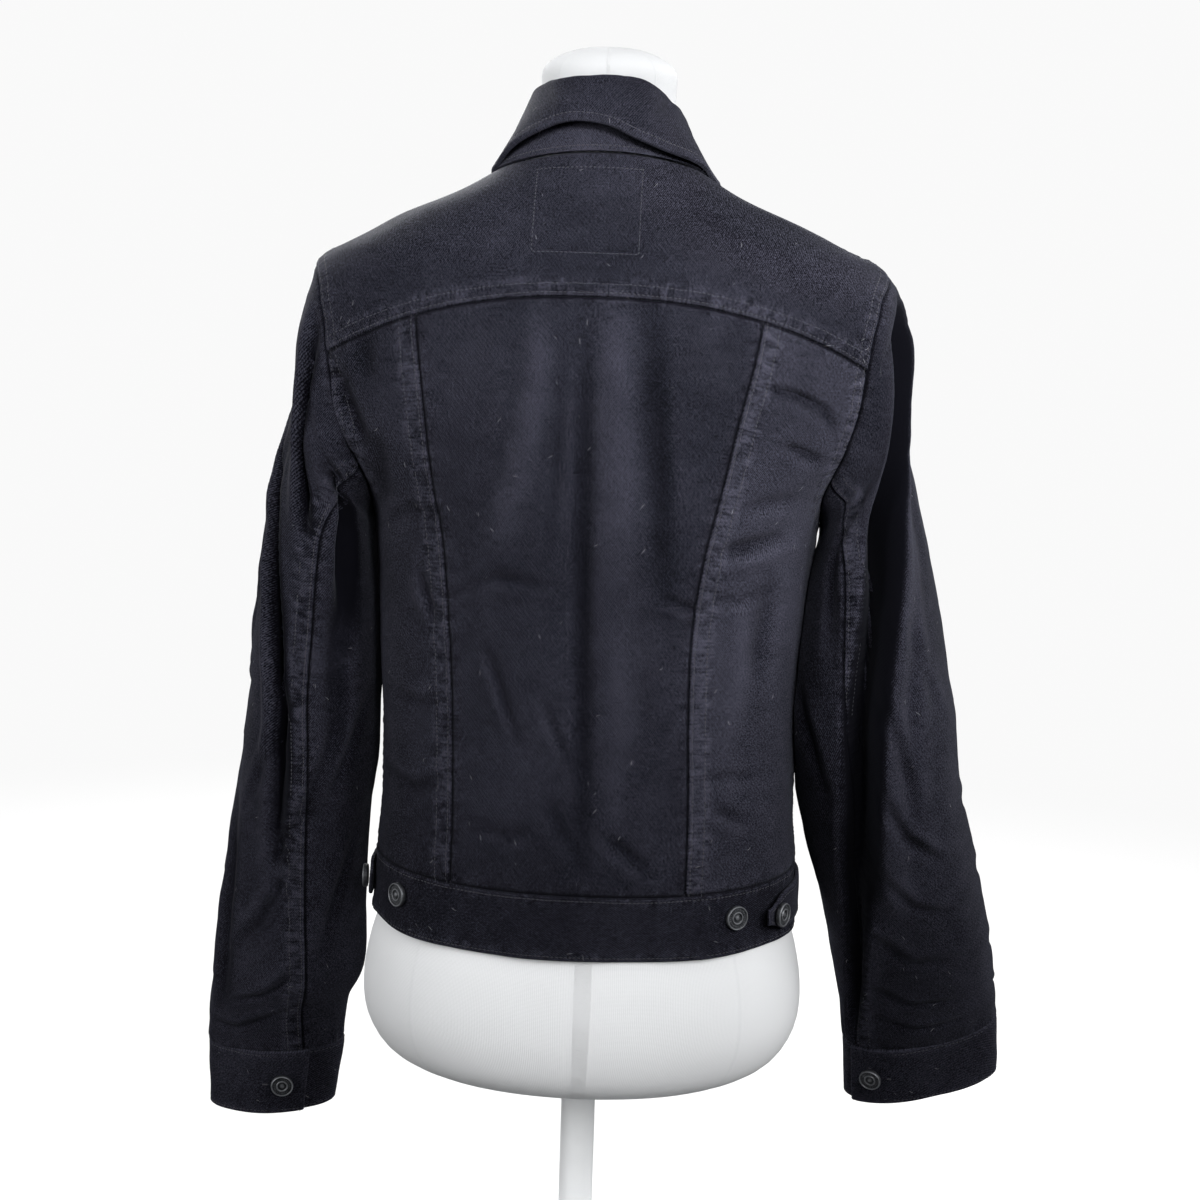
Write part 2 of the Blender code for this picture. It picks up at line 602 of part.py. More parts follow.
def build_fronts():
    side_steps, columns, placket_steps = 8, 8, 17
    side = straight_run((SIDE_SEAM_ANGLE, BAND_LEVEL), armhole_place(UNDERARM), side_steps)
    side += armhole_run(ROUND, SHOULDER, FRONT_STEPS)[1:]
    levels = [level for _, level in straight_run((0, BAND_LEVEL), (0, SHOULDER_ROW_LEVEL), len(side) - 1)]
    side += straight_run(side[-1], (SHOULDER_SEAM_ANGLE, NECK_LEVEL), SHOULDER_STEPS)[1:]
    levels += [level for _, level in straight_run((0, levels[-1]), (0, NECK_LEVEL), SHOULDER_STEPS)[1:]]
    edge = [(front_edge(level), level) for level in levels]
    hem, neckline = straight_run(side[0], edge[0], columns), straight_run(side[-1], edge[-1], columns)
    grid = coons(hem, edge, neckline, side)
    over = CLOTH + LAYER_GAP
    add_panel("front_left", grid)
    add_panel("front_right", [mirrored(row) for row in grid], front_lift(over))

    levels = [BAND_LEVEL + (NECK_LEVEL - BAND_LEVEL) * k / placket_steps for k in range(placket_steps + 1)]
    edges = [front_edge(level) for level in levels]
    strip = [straight_run((edge, level), (360 - edge, level), 2) for edge, level in zip(edges, levels)]
    add_panel("front_placket_left", strip)
    add_panel("front_placket_right", [mirrored(row) for row in strip], front_lift(over))


def build_waistband():
    end = BAND_OVERLAP_ANGLE
    levels = (0, BAND_LEVEL / 2, BAND_LEVEL)
    rows = [straight_run((end, level), (-end, level), BAND_STEPS) for level in levels]
    add_panel("waistband", rows, front_lift(DOUBLE_CLOTH + LAYER_GAP), DOUBLE_CLOTH)


def tab_out(side, angle):
    """How far the tab's outer face stands off the waistband's, curling up towards its free end."""
    run = (TAB_START_ANGLE - angle) / (TAB_START_ANGLE - TAB_END_ANGLE[side])
    return LAYER_GAP + DOUBLE_CLOTH + TAB_CURL[side] * max(0, run) ** 3


def build_waist_tabs():
    for side, sign in (("left", 1), ("right", -1)):
        end = TAB_END_ANGLE[side]
        outer, inner = [], []
        for k in range(TAB_STEPS + 1):
            run = k / TAB_STEPS
            angle = TAB_START_ANGLE + (end - TAB_START_ANGLE) * run
            pointed = smooth((run - TAB_POINT_START) / (1 - TAB_POINT_START))
            half = TAB_HALF_HEIGHT * (1 - (1 - TAB_POINT_HEIGHT) * pointed)
            levels = [TAB_LEVEL - half, TAB_LEVEL, TAB_LEVEL + half]
            out = tab_out(side, angle)
            outer.append([body_point(sign * angle, level, out) for level in levels])
            inner.append([body_point(sign * angle, level, out - DOUBLE_CLOTH) for level in levels])
        add_sheet(f"waist_tab_{side}", outer, inner)


# Sleeves and cuffs


def sleeve_section(side, place):
    return blend_rows(SLEEVE_SECTIONS[side], place)


def section_frame(section):
    """Middle, half span from the inner to the outer point, for the wearer's left."""
    outer = Vector((section.outer, section.middle, HEM_HEIGHT + section.outer_height))
    inner = Vector((section.inner, section.middle, HEM_HEIGHT + section.inner_height))
    return (outer + inner) / 2, (outer - inner) / 2


def depth_direction(side, place):
    """Square to the sleeve's line and its section's span, towards the back."""
    before, _ = section_frame(sleeve_section(side, max(place - 0.5, 0)))
    after, _ = section_frame(sleeve_section(side, min(place + 0.5, LAST_SECTION)))
    _, span = section_frame(sleeve_section(side, place))
    direction = (after - before).cross(span).normalized()
    return direction if direction.y > 0 else -direction


def armhole_loop():
    """Points of the armhole, from the underarm by the back to the shoulder and down the front."""
    places = armhole_run(UNDERARM, YOKE_END, BACK_STEPS)
    places += armhole_run(YOKE_END, SHOULDER, YOKE_STEPS)[1:]
    places += armhole_run(SHOULDER, ROUND, FRONT_STEPS)[1:-1]
    return places


def even_angles(back_seam, steps):
    """Angles round a section that put the seams on their steps: from 180 at the inner point down to -180."""
    front = FRONT_SEAM_ANGLE
    angles = []
    for k in range(steps):
        if k <= BACK_SEAM_STEP:
            angles.append(180 + (back_seam - 180) * k / BACK_SEAM_STEP)
        elif k <= FRONT_SEAM_STEP:
            share = (k - BACK_SEAM_STEP) / (FRONT_SEAM_STEP - BACK_SEAM_STEP)
            angles.append(back_seam + (front - back_seam) * share)
        else:
            angles.append(front + (-180 - front) * (k - FRONT_SEAM_STEP) / (steps - FRONT_SEAM_STEP))
    return angles


def sleeve_fold(side, place, angle):
    depth = 0
    for fold in SLEEVE_FOLDS[side]:
        along = (place - fold.start) / (fold.end - fold.start)
        if 0 < along < 1:
            middle = fold.start_angle + (fold.end_angle - fold.start_angle) * along
            depth += fold.depth * bump(angle - middle, fold.half_width) * sin(pi * along)
    return depth


def sleeve_frame(side, place):
    """Middle, span to the outer point, span to the back point and unit normal of a section."""
    section = sleeve_section(side, place)
    middle, span = section_frame(section)
    back = depth_direction(side, place) * section.depth / 2
    return middle, span, back, span.cross(back).normalized()


def armhole_shape(side):
    """The armhole's points in the first section's own frame: parts of its spans, and metres off its plane."""
    middle, span, back, normal = sleeve_frame(side, 0)
    shape = []
    for angle, level in armhole_loop():
        point = body_point(angle, level) - middle
        up, side_on = point.dot(span) / span.length_squared, point.dot(back) / back.length_squared
        shape.append((up, side_on, point.dot(normal)))
    return shape


def clear_of_armhole(point, hole, place):
    """The point, moved out so that the head's columns leave the armhole's edge instead of running down it."""
    above_underarm = smooth((hole.z - HEM_HEIGHT - UNDERARM_LEVEL) / 0.05)
    least = hole.x + BODY_CLEARANCE * smooth(place) + HEAD_SPREAD * smooth(place / 3) * above_underarm
    push = max(0, least - point.x) * (1 - smooth((place - 1.5) / (HEAD_SECTIONS - 1.5)))
    return point + Vector((push, 0, 0))


def sleeve_ring(side, place):
    """A ring of the sleeve's outer face, for the wearer's left: the armhole's shape at place 0, then oval."""
    middle, span, back, normal = sleeve_frame(side, place)
    head = 1 - smooth(place / HEAD_SECTIONS)
    shape = armhole_shape(side)
    points = []
    evens = even_angles(sleeve_section(side, place).back_seam, len(shape))
    holes = [body_point(angle, level) for angle, level in armhole_loop()]
    for (up, side_on, off), even, hole in zip(shape, evens, holes):
        hole_angle = degrees(atan2(side_on, up))
        if abs(hole_angle - even) > 180:
            hole_angle += copysign(360, even - hole_angle)
        turn = even + (hole_angle - even) * head
        reach = 1 + ((up**2 + side_on**2) ** 0.5 - 1) * head
        offset = span * reach * cos(radians(turn)) + back * reach * sin(radians(turn)) + normal * off * head
        fold = sleeve_fold(side, place, turn) * smooth(place)
        point = middle + offset - offset.normalized() * fold
        if place > 0:
            point = clear_of_armhole(point, hole, place)
            point = clear_of_body(point, BODY_CLEARANCE * smooth(place))
        points.append(point)
    return points


def ring_normals(rings):
    """Outward normals of a stack of closed rings."""
    normals = []
    count = len(rings[0])
    for i, ring in enumerate(rings):
        above, below = rings[max(i - 1, 0)], rings[min(i + 1, len(rings) - 1)]
        centre = sum(ring, Vector()) / count
        row = []
        for k in range(count):
            along = below[k] - above[k]
            around = ring[(k + 1) % count] - ring[k - 1]
            normal = along.cross(around).normalized()
            row.append(normal if normal.dot(ring[k] - centre) > 0 else -normal)
        normals.append(row)
    return normals


def seam_normals(normals):
    """The armhole ring's normals, turned where its wall would lean into the panel whose edge it meets."""
    places = armhole_loop()
    points = [body_point(angle, level) for angle, level in places]
    centre = sum(points, Vector()) / len(points)
    result = []
    for k, (angle, level) in enumerate(places):
        along = points[(k + 1) % len(points)] - points[k - 1]
        off_panel = body_normal(angle, level).cross(along).normalized()
        if off_panel.dot(centre - points[k]) < 0:
            off_panel = -off_panel
        lean = max(0, normals[k].dot(off_panel))
        result.append((normals[k] - off_panel * lean).normalized())
    return result


def to_side(side, grid):
    sign = 1 if side == "left" else -1
    return [[Vector((sign * point.x, point.y, point.z)) for point in row] for row in grid]


def part_of(rings, first, last):
    """Columns of a stack of closed rings, round from the first to the last."""
    count = len(rings[0])
    return [[ring[k % count] for k in range(first, last + 1)] for ring in rings]


def build_sleeves():
    steps = BACK_STEPS + YOKE_STEPS + FRONT_STEPS
    for side in ("left", "right"):
        places = [LAST_SECTION * (k / SLEEVE_RINGS) ** 1.15 for k in range(SLEEVE_RINGS + 1)]
        rings = [sleeve_ring(side, place) for place in places]
        normals = ring_normals(rings)
        normals[0] = seam_normals(normals[0])
        inner = [
            [point - normal * CLOTH for point, normal in zip(ring, row)] for ring, row in zip(rings, normals)
        ]
        for name, first, last in (
            ("top_sleeve", BACK_SEAM_STEP, FRONT_SEAM_STEP),
            ("under_sleeve", FRONT_SEAM_STEP, BACK_SEAM_STEP + steps),
        ):
            outer_part = to_side(side, part_of(rings, first, last))
            inner_part = to_side(side, part_of(inner, first, last))
            trims = (SEAM_GAP,) + (SEAM_GAP / 2,) * 3
            add_sheet(f"{name}_{side}", outer_part, inner_part, trims=trims)


def cuff_ring(side, share, out, angles):
    """Points round the cuff at a share of its height down from the seam, moved out by its layers."""
    top, low = sleeve_section(side, LAST_SECTION), CUFFS[side]
    section = Section(LAST_SECTION, *(a + (b - a) * share for a, b in zip(top[1:-1], low)), top.back_seam)
    middle, span = section_frame(section)
    back = depth_direction(side, LAST_SECTION) * section.depth / 2
    points = []
    for k, angle in enumerate(angles):
        turn = radians(angle)
        outward = span * cos(turn) / span.length_squared + back * sin(turn) / back.length_squared
        points.append(middle + span * cos(turn) + back * sin(turn) + outward.normalized() * out[k])
    return points


def build_cuffs():
    """A cuff is a strip from its under end round the front to its over end, which lies on the under end."""
    over = DOUBLE_CLOTH + LAYER_GAP
    for side in ("left", "right"):
        edge = sleeve_section(side, LAST_SECTION).back_seam + CUFF_EDGE_PAST_SEAM
        start, end = edge - CUFF_OVERLAP, edge + 360
        angles = [start + (end - start) * k / CUFF_STEPS for k in range(CUFF_STEPS + 1)]
        lifts = [over * smooth(1 - (end - CUFF_OVERLAP - angle) / CUFF_RISE) for angle in angles]
        under = [lift - DOUBLE_CLOTH for lift in lifts]
        shares = (CUFF_TOP_SHARE, 0.5, 1)
        outer = [cuff_ring(side, share, lifts, angles) for share in shares]
        inner = [cuff_ring(side, share, under, angles) for share in shares]
        add_sheet(f"cuff_{side}", to_side(side, outer), to_side(side, inner))


# The collar


def collar_profile(angle):
    """The collar's face: up the under collar from the neck seam, over the fold and down the fall."""
    place = blend_rows(COLLAR, angle)
    foot = body_point(angle, NECK_LEVEL, -CLOTH / 2)
    outward = Vector((foot.x, foot.y * 0.9, 0)).normalized()
    up = Vector((0, 0, 1))
    over_front = smooth((abs(angle) - OVERLAP_START_ANGLE) / (OVERLAP_FULL_ANGLE - OVERLAP_START_ANGLE))
    foot = foot + up * (COLLAR_FOOT_GAP + COLLAR_FOOT_OVER_FRONT * over_front)
    fold = foot + up * place.rise - outward * place.lean
    edge = body_point(place.edge_angle, place.edge_level, place.edge_gap) + up * place.edge_rise
    crown = fold + outward * place.roll
    shoulder = crown + outward * place.roll * 0.7 - up * place.roll
    fall_middle = (shoulder + edge) / 2 + (outward + up * 0.6).normalized() * place.bulge
    stand_middle, stand_top = foot.lerp(fold, 0.5), fold - up * place.roll
    return [foot, stand_middle, stand_top, crown + up * 0.001, shoulder, fall_middle, edge]


def build_collar():
    first, last = COLLAR[0].angle, COLLAR[-1].angle
    angles = [first + (last - first) * k / COLLAR_STEPS for k in range(COLLAR_STEPS + 1)]
    outer = [collar_profile(angle) for angle in angles]
    inner = []
    for i, row in enumerate(outer):
        before, after = outer[max(i - 1, 0)], outer[min(i + 1, len(outer) - 1)]
        inner_row = []
        for j, point in enumerate(row):
            along = row[min(j + 1, len(row) - 1)] - row[max(j - 1, 0)]
            normal = along.cross(after[j] - before[j]).normalized()
            inner_row.append(point + normal * DOUBLE_CLOTH)
        inner.append(inner_row)
    add_sheet("collar", outer, inner)


# Buttons


def add_button(name, point, normal, gap=SEAM_GAP):
    radius, height = BUTTON_RADIUS, BUTTON_HEIGHT
    profile = (
        (0, 0), (radius * 0.86, 0), (radius, height * 0.35), (radius * 0.94, height),
        (radius * 0.74, height * 0.78), (radius * 0.45, height * 0.9), (0, height * 0.95),
    )
    button = turned(name, profile, 12, GUNMETAL)
    button.location = point + normal * gap
    button.rotation_mode = "QUATERNION"
    button.rotation_quaternion = normal.to_track_quat("Z", "Y")


def add_body_button(name, angle, level, out):
    add_button(name, body_point(angle, level, out), body_normal(angle, level))


def build_buttons():
    for side, sign in (("left", 1), ("right", -1)):
        angle = angle_at(WAIST_BUTTON_PLACE[side], WAIST_BUTTON_LEVEL)
        add_body_button(f"waist_button_{side}", sign * angle, WAIST_BUTTON_LEVEL, 0)

        angle = TAB_END_ANGLE[side] + TAB_BUTTON_SETBACK
        span = 1.5
        before = body_point(sign * (angle - span), TAB_LEVEL, tab_out(side, angle - span))
        after = body_point(sign * (angle + span), TAB_LEVEL, tab_out(side, angle + span))
        normal = Vector((0, 0, sign)).cross(after - before).normalized()
        middle = body_point(sign * angle, TAB_LEVEL, tab_out(side, angle))
        add_button(f"tab_button_{side}", middle, normal, LAYER_GAP * 2)

        edge = sleeve_section(side, LAST_SECTION).back_seam + CUFF_EDGE_PAST_SEAM
        turns = [edge - CUFF_BUTTON_SETBACK + step for step in (0, 4)]
        over = [DOUBLE_CLOTH + LAYER_GAP] * 2
        row, low_row = to_side(side, [cuff_ring(side, share, over, turns) for share in (0.5, 0.6)])
        normal = (row[1] - row[0]).cross(low_row[0] - row[0]).normalized()
        if normal.y < 0:
            normal = -normal
        add_button(f"cuff_button_{side}", row[0], normal)

    for k in range(FRONT_BUTTONS):
        level = LOWEST_BUTTON_LEVEL + (HIGHEST_BUTTON_LEVEL - LOWEST_BUTTON_LEVEL) * k / (FRONT_BUTTONS - 1)
        add_body_button(f"front_button_{k + 1}", -180, level, CLOTH + LAYER_GAP + SEAM_GAP)
    add_body_button(f"front_button_{FRONT_BUTTONS + 1}", -180, BAND_LEVEL / 2, DOUBLE_CLOTH + LAYER_GAP)


# The dress form and its stand


def build_form():
    angles = [360 * k / FORM_SIDES for k in range(FORM_SIDES)]
    rings = [[ring_point(ring, angle) for angle in angles] for ring in FORM_HIPS]
    for k in range(FORM_BODY_RINGS):
        level = NECK_LEVEL * k / (FORM_BODY_RINGS - 1)
        face = blend_rows(BODY_RINGS, level)
        ease = blend_rows(FORM_EASE, level)
        narrow = face._replace(half_width=face.half_width - ease.narrower)
        rings.append(
            [ring_point(narrow, angle) - body_normal(angle, level) * ease.distance for angle in angles]
        )
    rings += [[ring_point(ring, angle) for angle in angles] for ring in FORM_NECK]

    points = [point for ring in rings for point in ring]
    bottom, top = len(points), len(points) + 1
    points.append(Vector((0, 0, HEM_HEIGHT + FORM_HIPS[0].level)))
    points.append(Vector((0, 0, HEM_HEIGHT + FORM_TOP)))
    faces = []
    last = (len(rings) - 1) * FORM_SIDES
    for k in range(FORM_SIDES):
        after = (k + 1) % FORM_SIDES
        faces.append((bottom, after, k))
        faces.append((top, last + k, last + after))
        for r in range(len(rings) - 1):
            low, high = r * FORM_SIDES, (r + 1) * FORM_SIDES
            faces.append((low + k, low + after, high + after, high + k))
    add_object("form_body", mesh_from("form_body", points, faces), JERSEY)


def build_stand():
    edge = 0.002
    base = (
        (0, 0), (BASE_RADIUS - edge, 0), (BASE_RADIUS, edge), (BASE_RADIUS, BASE_THICKNESS - edge),
        (BASE_RADIUS - edge, BASE_THICKNESS), (0, BASE_THICKNESS),
    )
    turned("stand_base", base, 40, STAND_PAINT)
    foot = BASE_THICKNESS + SEAM_GAP
    top = HEM_HEIGHT + FORM_HIPS[0].level - SEAM_GAP
    turned("stand_pole", ((0, foot), (POLE_RADIUS, foot), (POLE_RADIUS, top), (0, top)), 20, STAND_PAINT)


def build():
    clear_scene()
    build_stand()
    build_form()
    build_back()
    build_fronts()
    build_waistband()
    build_waist_tabs()
    build_sleeves()
    build_cuffs()
    build_collar()
    build_buttons()


build()
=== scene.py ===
# The dressed denim jacket on its dress form: fine cloth, sewing, buttons, light and camera.
import json
from math import cos, pi, radians, sin

import bmesh
import bpy
import numpy as np
from mathutils import Matrix, Vector
from mathutils.bvhtree import BVHTree

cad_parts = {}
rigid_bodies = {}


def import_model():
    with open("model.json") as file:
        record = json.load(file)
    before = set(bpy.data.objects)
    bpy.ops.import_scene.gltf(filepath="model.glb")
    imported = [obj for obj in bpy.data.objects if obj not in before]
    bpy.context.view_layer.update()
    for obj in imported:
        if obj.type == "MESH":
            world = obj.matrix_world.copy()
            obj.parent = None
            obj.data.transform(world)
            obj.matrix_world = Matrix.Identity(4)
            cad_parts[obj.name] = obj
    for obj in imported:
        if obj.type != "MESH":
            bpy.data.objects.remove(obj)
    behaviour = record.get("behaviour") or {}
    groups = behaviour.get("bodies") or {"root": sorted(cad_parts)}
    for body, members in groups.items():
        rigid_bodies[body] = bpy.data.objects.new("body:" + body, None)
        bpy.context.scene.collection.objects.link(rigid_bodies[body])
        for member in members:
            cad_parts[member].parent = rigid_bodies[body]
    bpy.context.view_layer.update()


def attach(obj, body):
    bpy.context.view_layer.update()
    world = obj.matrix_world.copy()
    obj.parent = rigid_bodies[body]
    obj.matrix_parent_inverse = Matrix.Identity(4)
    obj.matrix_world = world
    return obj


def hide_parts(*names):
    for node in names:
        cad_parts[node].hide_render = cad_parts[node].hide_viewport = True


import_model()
print("frame loaded")

# The jacket's driving sizes, in metres and degrees. Levels are heights above the hem, and angles run from the
# centre back (0) by the wearer's left side (90) to the centre front (180); the wearer's right is negative.
jacket = {
    "hemHeight": 0.30,
    "bandLevel": 0.045,
    "neckLevel": 0.543,
    "underarmLevel": 0.300,
    "cloth": 0.0018,
    "doubleCloth": 0.0026,
    "layerGap": 0.0005,
    "shoulderSeamAngle": 97,
    "sideSeamAngle": 90,
    "placketHalf": 0.019,
    "overlapStart": 146,
    "overlapFull": 170,
    "clothStep": 0.0021,  # the mesh's usual spacing
    "innerEvery": 3,  # the inner face keeps one grid line in this many
    "trim": 0.00008,
}
hem = jacket["hemHeight"]
signs = {"left": 1, "right": -1}  # the wearer's sides

# level, side height, front height, half width, back depth, front depth, squareness
bodyRings = np.array([
    (0.000, 0.003, 0.000, 0.1535, 0.1120, 0.1070, 2.3),
    (0.045, 0.048, 0.045, 0.1515, 0.1100, 0.1050, 2.3),
    (0.085, 0.087, 0.085, 0.1485, 0.1075, 0.1030, 2.3),
    (0.130, 0.130, 0.130, 0.1480, 0.1050, 0.1015, 2.3),
    (0.180, 0.180, 0.180, 0.1500, 0.1045, 0.1025, 2.3),
    (0.230, 0.230, 0.230, 0.1520, 0.1065, 0.1075, 2.3),
    (0.270, 0.270, 0.270, 0.1545, 0.1100, 0.1140, 2.3),
    (0.310, 0.310, 0.308, 0.1605, 0.1130, 0.1180, 2.35),
    (0.350, 0.350, 0.344, 0.1900, 0.1135, 0.1175, 2.4),
    (0.390, 0.390, 0.378, 0.2070, 0.1125, 0.1140, 2.4),
    (0.430, 0.428, 0.410, 0.2120, 0.1080, 0.1080, 2.4),
    (0.460, 0.453, 0.430, 0.2070, 0.1010, 0.1020, 2.4),
    (0.478, 0.4706, 0.440, 0.1905, 0.0950, 0.0980, 2.4),
    (0.492, 0.4845, 0.448, 0.1650, 0.0880, 0.0950, 2.4),
    (0.508, 0.499, 0.455, 0.1390, 0.0790, 0.0920, 2.3),
    (0.527, 0.515, 0.462, 0.1010, 0.0670, 0.0890, 2.2),
    (0.543, 0.530, 0.468, 0.0740, 0.0570, 0.0860, 2.1),
])

# level, then how far the princess seam is from the centre line on the wearer's left and right
princessSeam = np.array([
    (0.045, 0.0890, 0.0740), (0.110, 0.0890, 0.0735), (0.170, 0.0905, 0.0715), (0.225, 0.0935, 0.0715),
    (0.270, 0.0970, 0.0765), (0.320, 0.1050, 0.0870), (0.370, 0.1115, 0.0970), (0.410, 0.1165, 0.1060),
    (0.440, 0.1195, 0.1110),
])
yokeSeam = {"top": 0.4485, "power": 2.5}

# place on the armhole, angle, level: from the underarm by the back and the shoulder to the front
armhole = np.array([
    (0, 90, 0.300), (1, 72, 0.315), (2, 61, 0.345), (3, 58, 0.376), (4, 56.5, 0.405), (5, 58.5, 0.435),
    (6, 67, 0.462), (7, 97, 0.478), (8, 117, 0.470), (9, 129, 0.442), (10, 132, 0.405), (11, 128, 0.365),
    (12, 115, 0.325),
])
underarm, yokeEnd, shoulder, wholeRound = 0, 4, 7, 13
armholeRows = np.vstack([armhole[-2:] - (wholeRound, 0, 0), armhole, armhole[:3] + (wholeRound, 0, 0)])


def blendRows(rows, place):  # the table's row at each place, on a smooth curve
    place = np.asarray(place, float)
    last = len(rows) - 1
    i = np.clip(np.searchsorted(rows[:, 0], place, side="right") - 1, 0, last - 1)
    before, low, high, after = rows[np.maximum(i - 1, 0)], rows[i], rows[i + 1], rows[np.minimum(i + 2, last)]
    span = high[..., :1] - low[..., :1]
    t = np.clip((place[..., None] - low[..., :1]) / span, 0, 1)
    slopeIn = span * (high - before) / (high[..., :1] - before[..., :1])
    slopeOut = span * (after - low) / (after[..., :1] - low[..., :1])
    return (low * (2 * t**3 - 3 * t**2 + 1) + slopeIn * (t**3 - 2 * t**2 + t)
            + high * (3 * t**2 - 2 * t**3) + slopeOut * (t**3 - t**2))


def smooth(t):
    t = np.clip(t, 0, 1)
    return t * t * (3 - 2 * t)


def bump(distance, halfWidth):  # 1 at no distance, falling smoothly to 0 at the half width
    return smooth(1 - np.abs(distance) / halfWidth)


def unit(vectors):
    return vectors / np.maximum(np.linalg.norm(vectors, axis=-1, keepdims=True), 1e-12)


def ringPoint(rings, angle):
    turn = np.radians(angle)
    across, along = np.sin(turn), np.cos(turn)
    sideHeight, frontHeight, halfWidth, backDepth, frontDepth, squareness = np.moveaxis(rings[..., 1:], -1, 0)
    depth = np.where(along > 0, backDepth, frontDepth)
    endHeight = np.where(along > 0, rings[..., 0], frontHeight)
    height = sideHeight + (endHeight - sideHeight) * along**2
    power = 2 / squareness
    return np.stack([halfWidth * np.sign(across) * np.abs(across) ** power,
                     depth * np.sign(along) * np.abs(along) ** power, hem + height], axis=-1)


def bodyBase(angle, level):
    return ringPoint(blendRows(bodyRings, level), angle)


def bodyNormal(angle, level):
    low = np.minimum(level, jacket["neckLevel"] - 0.001)
    roundIt = bodyBase(angle + 0.5, low) - bodyBase(angle - 0.5, low)
    upIt = bodyBase(angle, low + 0.001) - bodyBase(angle, low)
    return unit(np.cross(upIt, roundIt))


def angleAt(distance, level):  # where a ring is this far from the centre line
    rings = blendRows(bodyRings, level)
    return np.degrees(np.arcsin(np.minimum(1, distance / rings[..., 3]) ** (rings[..., 6] / 2)))


def armholePlace(place):
    return blendRows(armholeRows, place)[..., 1:]


def yokeLevel(angle):
    top = yokeSeam["top"]
    ring = blendRows(bodyRings, top)
    endAngle, endLevel = armholePlace(yokeEnd)
    reach = lambda a: ring[3] * np.abs(np.sin(np.radians(a))) ** (2 / ring[6])
    return top - (top - endLevel) * (reach(angle) / reach(endAngle)) ** yokeSeam["power"]


# Lines on the body: each is a function from shares of its way (0 to 1) to angles and levels
def straightLine(start, end):
    start, end = np.array(start, float), np.array(end, float)
    return lambda t: start + (end - start) * t[:, None]


def armholeLine(start, end):
    return lambda t: armholePlace(start + (end - start) * t)


def yokeLine(startAngle, endAngle):
    def line(t):
        angle = startAngle + (endAngle - startAngle) * t
        return np.stack([angle, yokeLevel(angle)], axis=-1)
    return line


def princessLine(side):  # up from the waistband to the yoke seam, as on the wearer's left
    column = 1 if side == "left" else 2
    place = lambda level: angleAt(blendRows(princessSeam, level)[..., column], level)
    top = yokeSeam["top"]
    for _ in range(8):
        top = float(yokeLevel(place(np.array(top))))

    def line(t):
        level = jacket["bandLevel"] + (top - jacket["bandLevel"]) * t
        return np.stack([place(level), level], axis=-1)
    return line


def joinedLine(*parts):  # (line, its share of the whole)
    ends = np.cumsum([0] + [share for _, share in parts])

    def line(t):
        out = np.zeros((len(t), 2))
        for (part, share), start, end in zip(parts, ends, ends[1:]):
            here = (t >= start - 1e-12) & (t <= end + 1e-12)
            out[here] = part(np.clip((t[here] - start) / share, 0, 1))
        return out
    return line


def mirrored(line):
    return lambda t: line(t) * (-1, 1)


def onBody(line, t, out=0.0):
    angle, level = line(t).T
    return bodyBase(angle, level) + bodyNormal(angle, level) * out


def lengthAlong(points):
    steps = np.linalg.norm(np.diff(points, axis=0), axis=-1)
    return np.concatenate([np.zeros((1,) + steps.shape[1:]), np.cumsum(steps, axis=0)])


# Spacing of the cloth's grid: fine beside a sewn edge, then even
fineMarks = 1e-3 * np.array([
    0, 0.5, 1.0, 1.6, 2.2, 2.9, 3.6, 4.4, 5.3, 6.3, 7.3, 8.2, 8.9, 9.6, 10.5, 11.7, 13.3, 15])


def marksAlong(length, step, marks=np.zeros(1)):  # from 0 to the length: even, but for these at both ends
    ends = length - marks[::-1]
    between = length - marks[-1] - (length - ends[0])
    count = max(2, round(between / step))
    return np.concatenate([marks, marks[-1] + between * np.arange(1, count) / count, ends])


def sharesAlong(lines, step, keep=()):
    t = np.linspace(0, 1, 401)
    along = sum(lengthAlong(line(t)) for line in lines) / len(lines)
    shares = np.interp(marksAlong(along[-1], step, fineMarks), along, t)
    for share in keep:
        shares[np.argmin(np.abs(shares - share))] = share
    shares[0], shares[-1] = 0, 1
    return shares


def coons(bottom, right, top, left, across, up):  # a grid that fills the patch between four lines
    low, high, near, far = bottom(across), top(across), left(up), right(up)
    u, v = across[None, :, None], up[:, None, None]
    corners = (1 - v) * ((1 - u) * low[0] + u * low[-1]) + v * ((1 - u) * high[0] + u * high[-1])
    return (1 - v) * low[None] + v * high[None] + (1 - u) * near[:, None] + u * far[:, None] - corners


# Unevenness of cloth
hashing = {"cell": (374761393, 668265263, 2147483647), "seed": 974634777,
           "rounds": ((13, 1274126177), (16, 2246822519)), "lastShift": 15}


def cloud(points, size, seed):  # smooth random values from -1 to 1, with features of this size in metres
    p = points / size + np.array([13.7, 41.3, 7.9]) * (seed + 1)
    cell = np.floor(p).astype(np.int64)
    f = p - cell
    f = f * f * f * (f * (f * 6 - 15) + 10)
    total = 0
    for corner in np.ndindex(2, 2, 2):
        h = sum((cell[..., k] + corner[k]) * hashing["cell"][k] for k in range(3)) + seed * hashing["seed"]
        h = h & 0xFFFFFFFF
        for shift, factor in hashing["rounds"]:
            h = ((h ^ (h >> shift)) * factor) & 0xFFFFFFFF
        value = ((h ^ (h >> hashing["lastShift"])) & 0xFFFF) / 32767.5 - 1
        x, y, z = (f[..., k] if corner[k] else 1 - f[..., k] for k in range(3))
        total = total + x * y * z * value
    return total


def uneven(points, seed, *waves):  # clouds of each depth and size, with one seed after another
    return sum(depth * cloud(points, size, seed + k) for k, (depth, size) in enumerate(waves))


